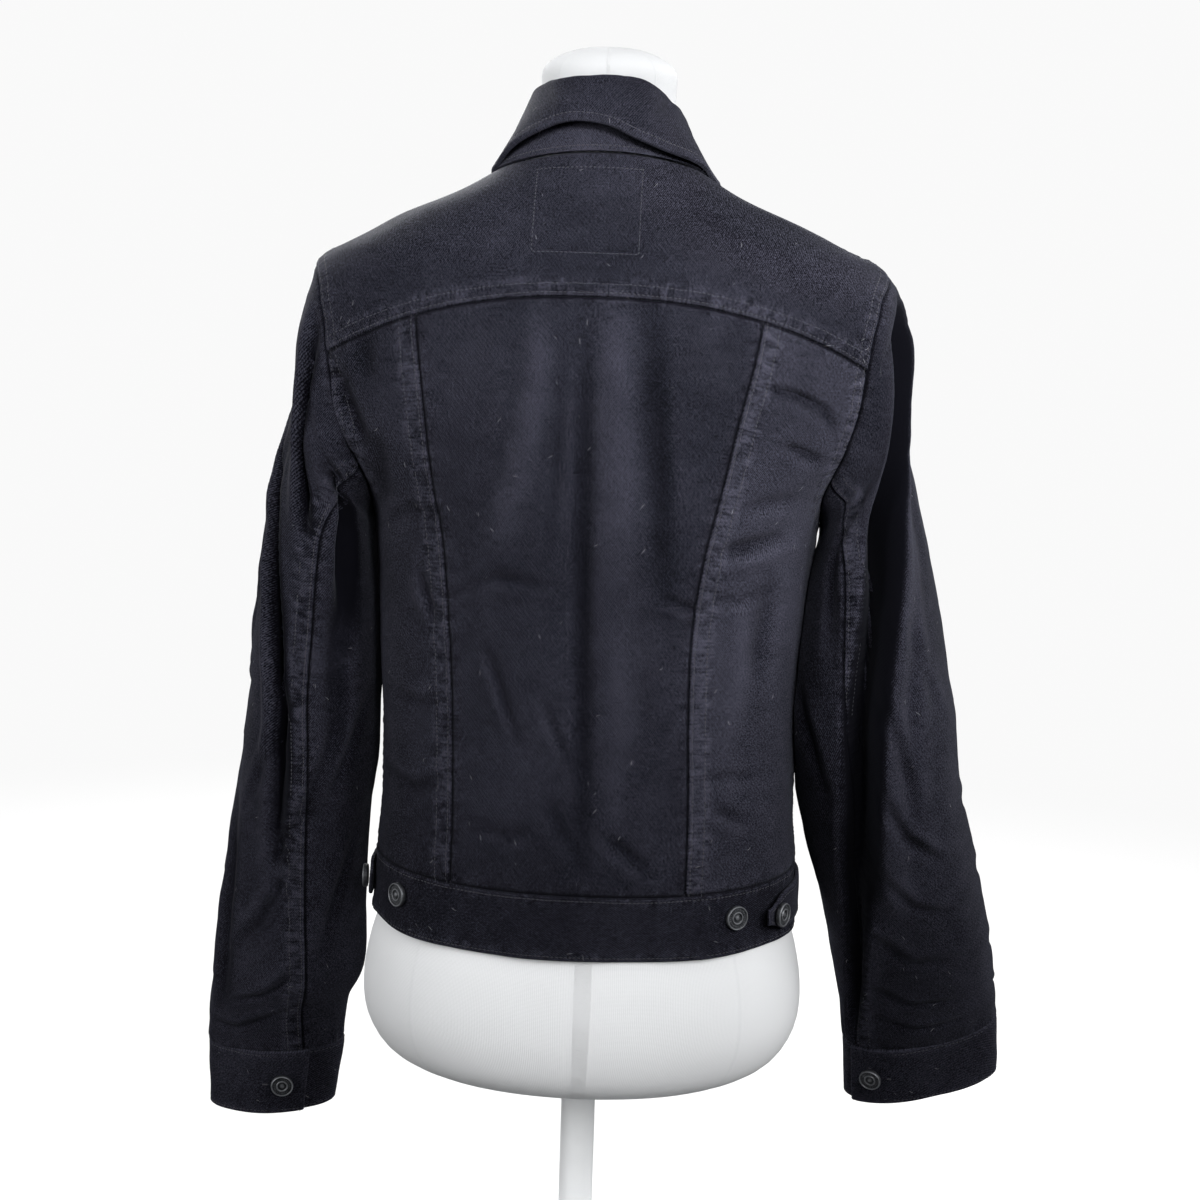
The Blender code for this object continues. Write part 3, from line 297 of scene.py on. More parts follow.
def ripple(along, seed):  # uneven waves of a puckered seam
    waves = ((0.0061, 1.0), (0.0083, 0.9), (0.0118, 0.6), (0.0047, 0.35))
    total = sum(size * np.sin(along * 2 * pi / length + seed * (1.7 + k) + 2.1 * k)
                for k, (length, size) in enumerate(waves))
    slow = 0.65 + 0.35 * np.sin(along * 2 * pi / 0.053 + seed * 2.3)
    return total * slow / 1.9


def nearestSpan(points, line):  # the nearest span, the share along it, the gap to it and the distance
    starts, spans = line[:-1], np.diff(line, axis=0)
    offset = points[:, None] - starts[None]
    t = np.clip((offset * spans).sum(-1) / np.maximum((spans**2).sum(1), 1e-15), 0, 1)
    gap = offset - t[..., None] * spans
    away = np.linalg.norm(gap, axis=-1)
    rows, i = np.arange(len(points)), away.argmin(1)
    return i, t[rows, i], gap[rows, i], away[rows, i]


def nearestOn(points, line, batch=4000):  # distance to a line, and how far along it the nearest place is
    lengths = lengthAlong(line)
    best, where = np.zeros(len(points)), np.zeros(len(points))
    for k in range(0, len(points), batch):
        i, t, _, best[k:k + batch] = nearestSpan(points[k:k + batch], line)
        where[k:k + batch] = lengths[i] + t * (lengths[i + 1] - lengths[i])
    return best, where


# Folds and creases: a line of points on a flat map of the surface, its half width, its depth (ridges are
# negative), and how much of a ridge stands beside it on its left as it runs
foldShape = {"lean": 0.35, "ridgeAt": 0.9, "ridgeWidth": 1.1, "end": 0.02, "endPower": 0.6}


def foldRelief(flat, folds):
    relief, s = np.zeros(len(flat)), foldShape
    for places, halfWidth, depth, ridge in folds:
        line = np.array(places, float)
        low, high = line.min(0) - 3 * halfWidth, line.max(0) + 3 * halfWidth
        near = ((flat > low) & (flat < high)).all(1)
        if not near.any():
            continue
        i, t, gap, away = nearestSpan(flat[near], line)
        lengths, spans = lengthAlong(line), np.diff(line, axis=0)
        along = (lengths[i] + t * (lengths[i + 1] - lengths[i])) / lengths[-1]
        side = np.sign(spans[i, 0] * gap[:, 1] - spans[i, 1] * gap[:, 0]) * away / halfWidth
        shape = bump(side + s["lean"] * ridge, 1) - ridge * bump(side - s["ridgeAt"], s["ridgeWidth"])
        fade = np.sin(pi * np.clip(along, s["end"], 1 - s["end"])) ** s["endPower"]
        relief[near] -= depth * shape * fade
    return relief


def millimetres(folds):
    return [(np.array(line) * 1e-3, halfWidth * 1e-3, depth * 1e-3, ridge)
            for line, halfWidth, depth, ridge in folds]


# The back's folds, in millimetres: by distance towards the wearer's left and level
backFolds = millimetres([
    ([(5, 430), (5, 365), (2.5, 237), (-2.5, 68)], 10.5, 2.7, 0),
    ([(-13, 446), (-17, 338), (-22, 255)], 19, -2.6, 0),
    ([(-36.5, 446), (-41, 390), (-48, 305), (-51, 240)], 14, 2.2, 0),
    ([(35, 447), (37, 389), (49, 321), (68, 265)], 16, -2, 0),
    ([(20, 410), (21.5, 340), (28.5, 271)], 8, 0.9, 0), ([(-23, 240), (-25, 150), (-20, 75)], 18, -1.4, 0),
    ([(70, 215), (63, 200), (44.7, 150)], 6, 1.2, 0.6), ([(29, 180), (9.7, 136)], 6, 1, 0.6),
    ([(24, 109), (0, 68)], 9, 1, 0.4), ([(-15, 88), (-25, 80), (-47, 62)], 8, 1.7, 0.6),
    ([(90.5, 246), (60.8, 261), (27.5, 256)], 7, 0.9, 0.5), ([(-48, 252), (-74, 242)], 6, 1.2, 0.6),
    ([(-113, 394), (-136, 389), (-154, 379), (-164, 362)], 4.8, 2.4, -0.6),
    ([(-128, 357), (-154, 345)], 4.5, 1.9, -0.7), ([(-98, 309), (-121.5, 314), (-138, 315)], 8, 1.1, 0.6),
    ([(-84, 279), (-110, 285), (-133, 291)], 9, 2.2, 0.5),
    ([(-80, 250), (-100, 247), (-120, 252)], 7, 0.9, 0.5),
    ([(-123.5, 262), (-124, 235), (-119, 190)], 9, 1.8, -0.5),
    ([(-102, 255), (-104, 200), (-96, 130)], 12, -1.2, 0),
    ([(-90, 105), (-102, 98), (-116, 91)], 7, 1.7, 0.6),
    ([(-76, 122), (-100, 126), (-125, 122)], 7, 0.9, 0.5), ([(154, 420), (152, 385)], 13, 1.6, 0),
    ([(177, 395), (169, 372), (154, 340)], 9, 2.4, 0.5), ([(145, 352), (143, 300)], 10, 1.6, 0),
    ([(116, 262), (111, 245), (102, 222)], 6, 1.3, 0.6),
    ([(98, 300), (120, 303), (140, 292)], 8, 0.9, 0.5), ([(96, 175), (115, 168), (135, 172)], 8, 0.9, 0.5),
    ([(95, 120), (115, 108), (140, 112)], 8, 1.2, 0.5), ([(75, 90), (50, 83), (30, 88)], 8, 0.9, 0.4),
])
# The front's, the same way
frontFolds = millimetres([
    ([(70, 420), (64, 300), (60, 180)], 16, 2.4, 0), ([(-64, 410), (-70, 290), (-64, 170)], 16, 2.6, 0),
    ([(40, 400), (38, 250), (42, 80)], 15, -1.8, 0), ([(-39, 380), (-36, 230), (-40, 70)], 15, -1.8, 0),
    ([(100, 260), (120, 270), (140, 262)], 8, 1.6, 0.5),
    ([(-98, 250), (-120, 262), (-140, 255)], 8, 1.8, 0.5),
    ([(152, 365), (130, 345), (108, 335)], 8, 2.2, 0.5),
    ([(-154, 370), (-130, 352), (-110, 344)], 8, 2.2, 0.5),
    ([(90, 150), (110, 138), (130, 142)], 8, 1.3, 0.5),
    ([(-85, 145), (-110, 128), (-132, 134)], 8, 1.3, 0.5), ([(60, 85), (85, 75), (110, 80)], 8, 1.2, 0.5),
    ([(-55, 90), (-80, 78), (-105, 83)], 8, 1.2, 0.5),
])
foldStrength = {"back": 2.1, "front": 1.5, "sleeve": 1.4}
# One shoulder hangs a little lower: where, by angle and level, and by how much
shoulderDrop = {"angle": -95, "halfWidth": 50, "low": 0.482, "high": 0.605, "depth": 0.0050}


def bodyCreases(base):
    flat = np.stack([base[:, 0], base[:, 2] - hem], axis=-1)
    onBack, onFront = (smooth(sign * base[:, 1] / 0.03) for sign in (1, -1))
    return (foldStrength["back"] * foldRelief(flat, backFolds) * onBack
            + foldStrength["front"] * foldRelief(flat, frontFolds) * onFront)


def shoulderFall(angle, level):
    drop = shoulderDrop
    along = np.clip((level - drop["low"]) / (drop["high"] - drop["low"]), 0, 1)
    return drop["depth"] * bump(angle - drop["angle"], drop["halfWidth"]) * np.sin(pi * along)


def bodyFolds(angle, level, base):
    relief = bodyCreases(base) - shoulderFall(angle, level)
    # fades at the waistband and the neck
    steady = smooth((level - 0.03) / 0.05) * smooth((0.54 - level) / 0.05)
    return relief + (0.00055 * cloud(base, 0.034, 3) + 0.00022 * cloud(base, 0.013, 5)) * steady


# Sewn edges. An over edge is the raised strip of a felled seam; an under edge tucks in beside it. Lengths are
# in metres; wear and shading is how much lighter (above 0) or darker the cloth is, for its wear and for
# painted light and shade
seamShape = {
    "stripRise": 0.00055, "stripMargin": 0.0012, "stripFade": 0.0014,
    "edgeDrop": 0.0013, "edgeWidth": 0.0011, "groove": 0.00022, "grooveWidth": 0.0007,
    "tuck": 0.0012, "tuckWidth": 0.0030, "tuckFrom": 0.002, "tuckFade": 0.009,
    "pucker": 0.00062, "puckerReach": 0.006, "ripples": 0.65, "clouds": 0.60, "slant": 0.35, "cloudSeed": 60,
    "overCloud": 0.0058, "tuckCloud": 0.0075, "boxMargin": 0.04, "slot": 0.0010, "edgeFade": 0.0013,
    "tuckSlot": 0.0006, "tuckSlotFade": 0.0018, "tuckPucker": 0.5, "tuckShare": 0.65,
    # an over edge's wear and painted light: plain wear of its strip, painted highlight and shade on its
    # ripples, a painted highlight along its edge and painted shadow in its slot; an under edge's: painted
    # highlight and shade on its ripples and painted shadow in its slot
    "overWearAndShading": (0.30, 0.60, 0.45, 1.5), "tuckShading": (0.45, 2.2),
}


def seamRelief(points, seams):
    s = seamShape
    relief, wearAndShading = np.zeros(len(points)), np.zeros(len(points))
    beside = np.tile((0.0, 0.05, 0.0), (len(points), 1))  # place along the nearest seam, distance, puckering
    for seam in seams:
        line, rows, strength, seed = seam["line"], seam["rows"], seam["pucker"], seam["seed"]
        low, high = line.min(0) - s["boxMargin"], line.max(0) + s["boxMargin"]
        near = np.flatnonzero(((points > low) & (points < high)).all(1))
        if not len(near):
            continue
        away, along = nearestOn(points[near], line)
        size = s["overCloud"] if seam["over"] else s["tuckCloud"]
        waves = (s["ripples"] * ripple(along + s["slant"] * away, seed)
                 + s["clouds"] * cloud(points[near], size, seed + s["cloudSeed"]))
        if seam["over"]:
            width = max(rows) + s["stripMargin"]
            onStrip = 1 - smooth((away - width) / s["stripFade"])
            rise = s["stripRise"] * onStrip - s["edgeDrop"] * (1 - smooth(away / s["edgeWidth"]))
            for row in rows:
                rise -= s["groove"] * np.exp(-(((away - row) / s["grooveWidth"]) ** 2))
            reach = 1 - smooth((away - width) / s["puckerReach"])
            rise += s["pucker"] * strength * waves * reach * smooth(away / 0.002)
            plain, rippled, light, dark = s["overWearAndShading"]
            edge, slot = 1 - smooth((away - s["slot"]) / s["edgeFade"]), 1 - smooth(away / s["slot"])
            # the strip is lighter for wear; its ripples are painted lighter on their ridges and darker in
            # their troughs as their light and shade, with a painted highlight along the edge and a painted
            # shadow in the slot
            wearAndShading[near] += reach * (plain + rippled * waves) * strength
            wearAndShading[near] += light * edge - dark * slot
            puckered = reach * strength
        else:
            fade = 1 - smooth((away - s["tuckFrom"]) / s["tuckFade"])
            rise = -s["tuck"] * (1 - smooth(away / s["tuckWidth"]))
            rise = rise + s["tuckPucker"] * s["pucker"] * strength * waves * fade * smooth(away / 0.004)
            rippled, dark = s["tuckShading"]
            slot = 1 - smooth((away - s["tuckSlot"]) / s["tuckSlotFade"])
            # the ripples are painted lighter and darker as their light and shade, and a painted shadow lies
            # in the slot at the seam
            wearAndShading[near] += rippled * fade * waves * strength - dark * slot
            puckered = s["tuckShare"] * fade * strength
        relief[near] += rise
        closer = away < beside[near, 1]
        beside[near[closer]] = np.stack([along + 0.37 * seed, away, puckered], axis=-1)[closer]
    return relief, wearAndShading, beside


# Meshes

def newObject(name, mesh, material):
    mesh.materials.clear()
    mesh.materials.append(material)
    obj = bpy.data.objects.new(name, mesh)
    bpy.context.scene.collection.objects.link(obj)
    return obj


def meshFrom(name, points, faces):
    mesh = bpy.data.meshes.new(name)
    mesh.from_pydata(np.asarray(points).reshape(-1, 3).tolist(), [], faces)
    mesh.validate()
    return mesh


def gridQuads(number):  # the faces between the numbered points of a grid
    corners = number[:-1, :-1], number[:-1, 1:], number[1:, 1:], number[1:, :-1]
    return np.stack(corners, axis=-1).reshape(-1, 4)


def storeValue(mesh, name, values, kind="FLOAT"):
    attribute = mesh.attributes.new(name, kind, "POINT")
    values = np.asarray(values, np.float32).ravel()
    attribute.data.foreach_set("value" if kind == "FLOAT" else "vector", values)


def storeFlat(mesh, flat):  # where each point lies on its laid out cloth, in metres
    corners = np.zeros(len(mesh.loops), np.int32)
    mesh.loops.foreach_get("vertex_index", corners)
    mesh.uv_layers.new(name="flat").data.foreach_set("uv", flat[corners].astype(np.float32).ravel())


def keptLines(count, every):
    kept = list(range(0, count - 1, every))
    if count - 1 - kept[-1] < every / 2 and len(kept) > 2:
        kept.pop()
    return np.array(kept + [count - 1])


def clothShell(name, outer, inner, flat, wearAndShading, beside=None, every=jacket["innerEvery"], backWear=0.0):
    # A closed wall: a fine outer face, a coarser inner one, and a rim between their edges
    rows, columns = outer.shape[:2]
    keptRows, keptColumns = keptLines(rows, every), keptLines(columns, every)
    inner = inner[np.ix_(keptRows, keptColumns)]
    innerRows, innerColumns = inner.shape[:2]
    offset = rows * columns
    points = np.concatenate([outer.reshape(-1, 3), inner.reshape(-1, 3)])
    number = np.arange(offset).reshape(rows, columns)
    under = offset + np.arange(innerRows * innerColumns).reshape(innerRows, innerColumns)
    faces = gridQuads(number).tolist() + gridQuads(under)[:, ::-1].tolist()

    def rim(fineLine, coarseLine, kept, flip):
        for k in range(len(kept) - 1):
            face = fineLine[kept[k]:kept[k + 1] + 1][::-1].tolist() + [coarseLine[k], coarseLine[k + 1]]
            faces.append([int(i) for i in (face[::-1] if flip else face)])

    rim(number[0], under[0], keptColumns, False)
    rim(number[-1], under[-1], keptColumns, True)
    rim(number[:, 0], under[:, 0], keptRows, True)
    rim(number[:, -1], under[:, -1], keptRows, False)
    row, column = rows // 2, columns // 2
    a, b, c = outer[row, column], outer[row, column + 1], outer[row + 1, column]
    rowAt, columnAt = np.argmin(np.abs(keptRows - row)), np.argmin(np.abs(keptColumns - column))
    wall = outer[keptRows[rowAt], keptColumns[columnAt]] - inner[rowAt, columnAt]
    if np.dot(np.cross(b - a, c - a), wall) < 0:
        faces = [face[::-1] for face in faces]
    mesh = meshFrom(name, points, faces)
    mesh.shade_smooth()
    mesh.set_sharp_from_angle(angle=radians(50))
    storeFlat(mesh, np.concatenate([flat.reshape(-1, 2), flat[np.ix_(keptRows, keptColumns)].reshape(-1, 2)]))
    storeValue(mesh, "wearAndShading", np.concatenate([np.ravel(wearAndShading), np.full(under.size, backWear)]))
    beside = np.zeros((offset, 3)) if beside is None else beside
    storeValue(mesh, "beside", np.concatenate([beside, np.zeros((under.size, 3))]), "FLOAT_VECTOR")
    return newObject(name + "_cloth", mesh, denim)


def drawnIn(grid, trim):  # the grid with its edges drawn in by a hair, so that neighbours don't touch
    grid = grid.copy()
    for a, b in (((0,), (1,)), ((-1,), (-2,))):
        grid[a] += unit(grid[b] - grid[a]) * trim
        column, inside = (slice(None),) + a, (slice(None),) + b
        grid[column] += unit(grid[inside] - grid[column]) * trim
    return grid


def clothArea(obj):
    return sum(face.area for face in obj.data.polygons) / 2


# Shader work: a wired socket can be used in sums
class Wire:
    def __init__(self, finish, socket):
        self.finish, self.socket = finish, socket

    def math(self, operation, first, second=0.0):
        return self.finish.node("Math", {"operation": operation}, {0: first, 1: second})

    def __add__(self, other):
        return self.math("ADD", self, other)

    def __radd__(self, other):
        return self.math("ADD", other, self)

    def __sub__(self, other):
        return self.math("SUBTRACT", self, other)

    def __rsub__(self, other):
        return self.math("SUBTRACT", other, self)

    def __mul__(self, other):
        return self.math("MULTIPLY", self, other)

    def __rmul__(self, other):
        return self.math("MULTIPLY", other, self)

    def __gt__(self, other):
        return self.math("GREATER_THAN", self, other)

    def __lt__(self, other):
        return self.math("LESS_THAN", self, other)

    def sine(self):
        return self.math("SINE", self)

    def wave(self):  # from 0 to 1
        return self.sine() * 0.5 + 0.5

    def size(self):
        return self.math("ABSOLUTE", self)


class Finish:
    def __init__(self, name, constants):
        self.material = bpy.data.materials.new(name)
        self.material.use_nodes = True
        self.tree = self.material.node_tree
        self.shader = self.tree.nodes["Principled BSDF"]
        for socket, value in constants.items():
            self.shader.inputs[socket].default_value = value

    def node(self, kind, settings, sockets, out=0):
        made = self.tree.nodes.new("ShaderNode" + kind)
        for key, value in settings.items():
            setattr(made, key, value)
        for key, value in sockets.items():
            if isinstance(value, Wire):
                self.tree.links.new(value.socket, made.inputs[key])
            else:
                made.inputs[key].default_value = value
        return Wire(self, made.outputs[out])

    def send(self, wire, socket):
        self.tree.links.new(wire.socket, self.shader.inputs[socket])

    def place(self):
        return self.node("TexCoord", {}, {}, out=3)

    def flatMap(self):
        return self.node("UVMap", {"uv_map": "flat"}, {})

    def parts(self, vector):
        made = self.node("SeparateXYZ", {}, {0: vector}).socket.node
        return [Wire(self, made.outputs[k]) for k in range(3)]

    def clamped(self, value):
        return self.node("Clamp", {}, {0: value})

    def noise(self, vector, scale, detail=2.0):
        sockets = {"Vector": vector, "Scale": scale, "Detail": detail, "Roughness": 0.55}
        return self.node("TexNoise", {}, sockets)

    def vector(self, x, y, z=0.0):
        return self.node("CombineXYZ", {}, {0: x, 1: y, 2: z})

    def mixed(self, factor, first, second):
        return self.node("Mix", {"data_type": "RGBA"}, {0: factor, 6: first, 7: second}, out=2)

    def attribute(self, name, out=2):
        return self.node("Attribute", {"attribute_name": name}, {}, out=out)

    def bump(self, height, distance, strength=1.0):
        return self.node("Bump", {}, {"Height": height, "Distance": distance, "Strength": strength})


stitchPitch = 0.0030
denimLook = {
    "dark": (0.0024, 0.0025, 0.0044, 1),
    "light": (0.0640, 0.0640, 0.0900, 1),
    "twillPitch": 0.0012,
    "twillSlope": radians(56),
    "yarnPitch": 0.0019,
    "leastShading": -0.8,  # below it the painted shade of a fold darkens the whole colour, so the cloth's own detail fades too
    "lint": (0.42, 0.42, 0.45, 1),
    "lintStrength": 0.45,
    "lintLength": 0.013,
    "lintWidth": 0.0010,
    "lintTurns": ((0.5, 0.9930), (2.1, 0.9940), (1.3, 0.9950)),  # and the share of cells without a hair
    "bumpDepth": 0.00030,
}


def lintMask(f, u, v, look):  # short bent hairs in three directions, each in a cell of its own
    lint = None
    for turn, share in look["lintTurns"]:
        along = u * (cos(turn) / look["lintLength"]) + v * (sin(turn) / look["lintLength"])
        across = v * (cos(turn) / look["lintWidth"]) - u * (sin(turn) / look["lintWidth"])
        cell = {"Vector": f.vector(along, across + (along * 7.0).sine() * 0.8), "Scale": 1.0}
        near = f.node("TexVoronoi", {}, cell) < 0.15
        chosen = f.node("SeparateColor", {}, {0: f.node("TexVoronoi", {}, cell, out=1)}) > share
        lint = near * chosen if lint is None else lint + near * chosen
    return lint


def denimFinish():
    look = denimLook
    f = Finish("blackDenim", {
        "Specular IOR Level": 0.05, "Sheen Weight": 0.045, "Sheen Roughness": 0.45,
        "Sheen Tint": (0.80, 0.84, 1.0, 1),
    })
    flat, place = f.flatMap(), f.place()
    u, v, _ = f.parts(flat)
    cloudy, patchy = f.noise(place, 11.0, 3.0), f.noise(place, 75.0, 3.0)
    slub = f.noise(f.vector(u * 900.0, v * 240.0), 1.0, 1.0)
    grain, fleck = f.noise(flat, 1450.0, 1.0), f.noise(flat, 760.0, 2.0)
    turn = 2 * pi / look["twillPitch"]
    diagonal = u * (sin(look["twillSlope"]) * turn) - v * (cos(look["twillSlope"]) * turn)
    twill = (diagonal + slub * 2.5).wave()
    yarn = (v * (2 * pi / look["yarnPitch"]) + diagonal * 0.5).wave()
    # the cloth's wear, and light and shade painted into its colour at folds, seams, low down and on a lit
    # side; deep painted shade (lit) darkens the colour, the lint and the bump
    shade = f.attribute("wearAndShading")
    wearAndShading = shade.math("MAXIMUM", shade, look["leastShading"])
    lit = f.clamped((shade - look["leastShading"]) * 0.45 + 1.0)
    along, away, puckered = f.parts(f.attribute("beside", out=1))
    ribs = f.noise(f.vector(along * 190.0, away * 105.0), 1.0, 2.0) - 0.5
    pulls = (along * (2 * pi / stitchPitch)).sine() * 0.16
    # the pucker ribs beside the seams rise in the bump, and the colour is painted lighter and darker along
    # them as their light and shade
    ladder = (ribs * 3.2 + pulls) * puckered
    tone = (cloudy - 0.5) * 0.50 + (patchy - 0.5) * 0.28 + twill * 0.42 + (slub - 0.5) * 0.60 - 0.04
    tone = tone + (grain - 0.5) * 1.40 + (fleck - 0.5) * 1.25 + yarn * 0.08 + wearAndShading * 0.25 + ladder * 0.30
    colour = f.mixed(f.clamped(tone) * lit, look["dark"], look["light"])
    lint = lintMask(f, u, v, look)
    f.send(f.mixed(lint * lit * look["lintStrength"], colour, look["lint"]), "Base Color")
    f.send(0.80 + grain * 0.10 + twill * 0.04 - wearAndShading * 0.05, "Roughness")
    height = twill * 0.55 + yarn * 0.20 + grain * 0.50 + fleck * 0.60 + slub * 0.35 + lint * 0.5
    height = height + ladder * 1.5
    f.send(f.bump(height * (lit * 0.7 + 0.3), look["bumpDepth"], 0.65), "Normal")
    return f.material


def threadFinish():
    f = Finish("blackThread", {"Roughness": 0.62, "Specular IOR Level": 0.35, "Sheen Weight": 0.12})
    place = f.place()
    ply, shade = f.noise(place, 2600.0, 1.0), f.noise(place, 60.0, 2.0)
    tone = f.clamped(ply * 0.6 + shade * 0.5 - 0.05)
    f.send(f.mixed(tone, (0.010, 0.010, 0.014, 1), (0.050, 0.050, 0.064, 1)), "Base Color")
    f.send(f.bump(ply, 0.00012), "Normal")
    return f.material


def metalFinish():
    f = Finish("gunmetal", {"Specular IOR Level": 0.5})
    place = f.place()
    mottled, fine = f.noise(place, 420.0, 3.0), f.noise(place, 2400.0, 2.0)
    tone = f.clamped((mottled - 0.40) * 0.7 + f.attribute("wearAndShading") * 0.70)
    f.send(f.mixed(tone, (0.022, 0.024, 0.028, 1), (0.250, 0.260, 0.280, 1)), "Base Color")
    f.send(0.36 + mottled * 0.22 + fine * 0.08, "Roughness")
    f.send(0.62 - mottled * 0.14, "Metallic")
    f.send(f.bump(fine, 0.00004), "Normal")
    return f.material


formLook = {
    "shade": (0.66, 0.67, 0.685, 1),
    "light": (0.76, 0.77, 0.78, 1),
    "wale": 0.0011,
    "course": 0.0009,
    "seamAngles": (0, 44, -44, 118, -118, 180),
    "seamWidth": 1.1,  # in degrees
}


def jerseyFinish():
    look = formLook
    f = Finish("whiteJersey", {"Specular IOR Level": 0.22, "Sheen Weight": 0.10, "Sheen Roughness": 0.5})
    place = f.place()
    u, v, _ = f.parts(f.flatMap())
    cloudy, fuzz = f.noise(place, 9.0, 2.0), f.noise(place, 1300.0, 2.0)
    wales = (u * (2 * pi / look["wale"])).wave()
    courses = (v * (2 * pi / look["course"]) + wales * 1.5).wave()
    angle = f.attribute("roundAngle")
    seam = None
    for at in look["seamAngles"]:
        line = f.clamped(1.0 - (angle - float(at)).size() * (1 / look["seamWidth"]))
        seam = line if seam is None else seam + line
    tone = 0.35 + (cloudy - 0.5) * 0.7 + wales * 0.12 + courses * 0.10 + (fuzz - 0.5) * 0.25 - seam * 0.20
    f.send(f.mixed(f.clamped(tone), look["shade"], look["light"]), "Base Color")
    f.send(0.78 + fuzz * 0.12, "Roughness")
    f.send(f.bump(wales * 0.5 + courses * 0.4 + fuzz * 0.3 - seam * 1.6, 0.00016, 0.8), "Normal")
    return f.material


def paintFinish():
    f = Finish("whitePaint", {"Specular IOR Level": 0.5, "Coat Weight": 0.15, "Coat Roughness": 0.2})
    place = f.place()
    peel, dust = f.noise(place, 260.0, 2.0), f.noise(place, 24.0, 3.0)
    f.send(f.mixed(f.clamped(dust), (0.70, 0.71, 0.72, 1), (0.80, 0.81, 0.82, 1)), "Base Color")
    f.send(0.36 + dust * 0.12, "Roughness")
    f.send(f.bump(peel, 0.00008, 0.5), "Normal")
    return f.material


denim, thread, metal = denimFinish(), threadFinish(), metalFinish()
jersey, paint = jerseyFinish(), paintFinish()
print("finishes made")

# The flat map of the body: how far round and up each angle and level is
mapAngles, mapLevels = np.arange(0, 181.0), np.linspace(0, jacket["neckLevel"], 56)
mapPoints = bodyBase(*np.meshgrid(mapAngles, mapLevels, indexing="ij"))
roundMap = lengthAlong(mapPoints)
upMap = lengthAlong(np.swapaxes(mapPoints, 0, 1)[..., 1:]).T


def readMap(table, angle, level):
    i = np.clip(np.abs(angle), 0, 179.999)
    j = np.clip(level / jacket["neckLevel"], 0, 0.99999) * (len(mapLevels) - 1)
    a, b = i.astype(int), j.astype(int)
    i, j = i - a, j - b
    return (table[a, b] * (1 - i) * (1 - j) + table[a + 1, b] * i * (1 - j)
            + table[a, b + 1] * (1 - i) * j + table[a + 1, b + 1] * i * j)


def wayRound(angle, level):  # metres round the body from the centre back, past the centre front too
    half = readMap(roundMap, np.full_like(angle, 180.0), level)
    way = readMap(roundMap, np.where(np.abs(angle) > 180, 360 - np.abs(angle), angle), level)
    return np.sign(angle) * np.where(np.abs(angle) > 180, 2 * half - way, way)


def bodyFlat(angle, level, fromFront):
    way = wayRound(angle, level)
    if fromFront:
        way = way - np.sign(angle) * readMap(roundMap, np.full_like(angle, 180.0), level)
    return np.stack([-way, readMap(upMap, angle, level)], axis=-1)


def frontLift(full):  # a layer that rises towards the centre front on the wearer's right
    ramp = jacket["overlapFull"] - jacket["overlapStart"]
    return lambda angle: full * smooth((-angle - jacket["overlapStart"]) / ramp)


clothPieces, sewFaces = {}, {}  # by name: the objects, and the faces to sew on


def faceTree(outer):
    rows, columns = outer.shape[:2]
    quads = gridQuads(np.arange(rows * columns).reshape(rows, columns))
    return BVHTree.FromPolygons(outer.reshape(-1, 3).tolist(), quads.tolist())


def keepCloth(name, outer, inner, flat, wearAndShading, **others):
    obj = clothShell(name, outer, inner, flat, wearAndShading, **others)
    clothPieces[name], sewFaces[name] = obj, faceTree(outer)
    print("cloth:", name, len(obj.data.polygons), "faces,", round(clothArea(obj), 4), "square metres")


# Light and shade painted on the body's panels: darker towards the bottom as shade where less light falls,
# painted shade in the folds' troughs and painted highlight on their ridges, and a panel lit from its side
# painted lighter
panelShading = {"lowFrom": 0.20, "low": -0.45, "folds": 230, "foldsFrom": -1.2, "foldsTo": 0.7,
             "litPanels": {"back_side_right": 0.80}}


def bodyPanel(name, places, seams, fromFront=False, lift=None):
    look, shape = panelShading, places.shape[:2] + (3,)
    angle, level = places.reshape(-1, 2).T
    base, normal = bodyBase(angle, level), bodyNormal(angle, level)
    folds = bodyFolds(angle, level, base) + (lift(angle) if lift else 0)
    edge, wearAndShading, beside = seamRelief(base, seams)
    outer = drawnIn((base + normal * (folds + edge)[:, None]).reshape(shape), jacket["trim"])
    inner = drawnIn((base + normal * (folds - jacket["cloth"])[:, None]).reshape(shape), jacket["trim"])
    flat = bodyFlat(angle, level, fromFront).reshape(places.shape)
    # painted shade low down, painted shade and highlight along the folds, and painted light on a lit side
    # panel
    wearAndShading = wearAndShading + look["low"] * smooth((look["lowFrom"] - level) / look["lowFrom"])
    wearAndShading = wearAndShading + np.clip(look["folds"] * bodyCreases(base), look["foldsFrom"], look["foldsTo"])
    keepCloth(name, outer, inner, flat, wearAndShading + look["litPanels"].get(name, 0), beside=beside)


def seamPoints(line, count=160):
    return onBody(line, np.linspace(0, 1, count))


def onLine(line):
    return lambda t: onBody(line, t)


# The body's seams
princessLeft, princessRight = princessLine("left"), princessLine("right")
princessTops = [float(line(np.array([1.0]))[0, 0]) for line in (princessLeft, princessRight)]
yokeEndAngle = float(armholePlace(yokeEnd)[0])
shoulderTop = (jacket["shoulderSeamAngle"], jacket["neckLevel"])
sideSeam = straightLine((jacket["sideSeamAngle"], jacket["bandLevel"]), armholePlace(underarm))
shoulderSeam = straightLine(armholePlace(shoulder), shoulderTop)
allRound = lambda level: straightLine((-179.9, level), (179.9, level))
seamLines = {
    "yoke": seamPoints(yokeLine(-yokeEndAngle, yokeEndAngle), 260),
    "princess_left": seamPoints(princessLeft),
    "princess_right": seamPoints(mirrored(princessRight)),
    "neck": seamPoints(allRound(jacket["neckLevel"]), 200),
    "band": seamPoints(allRound(jacket["bandLevel"]), 360),
}
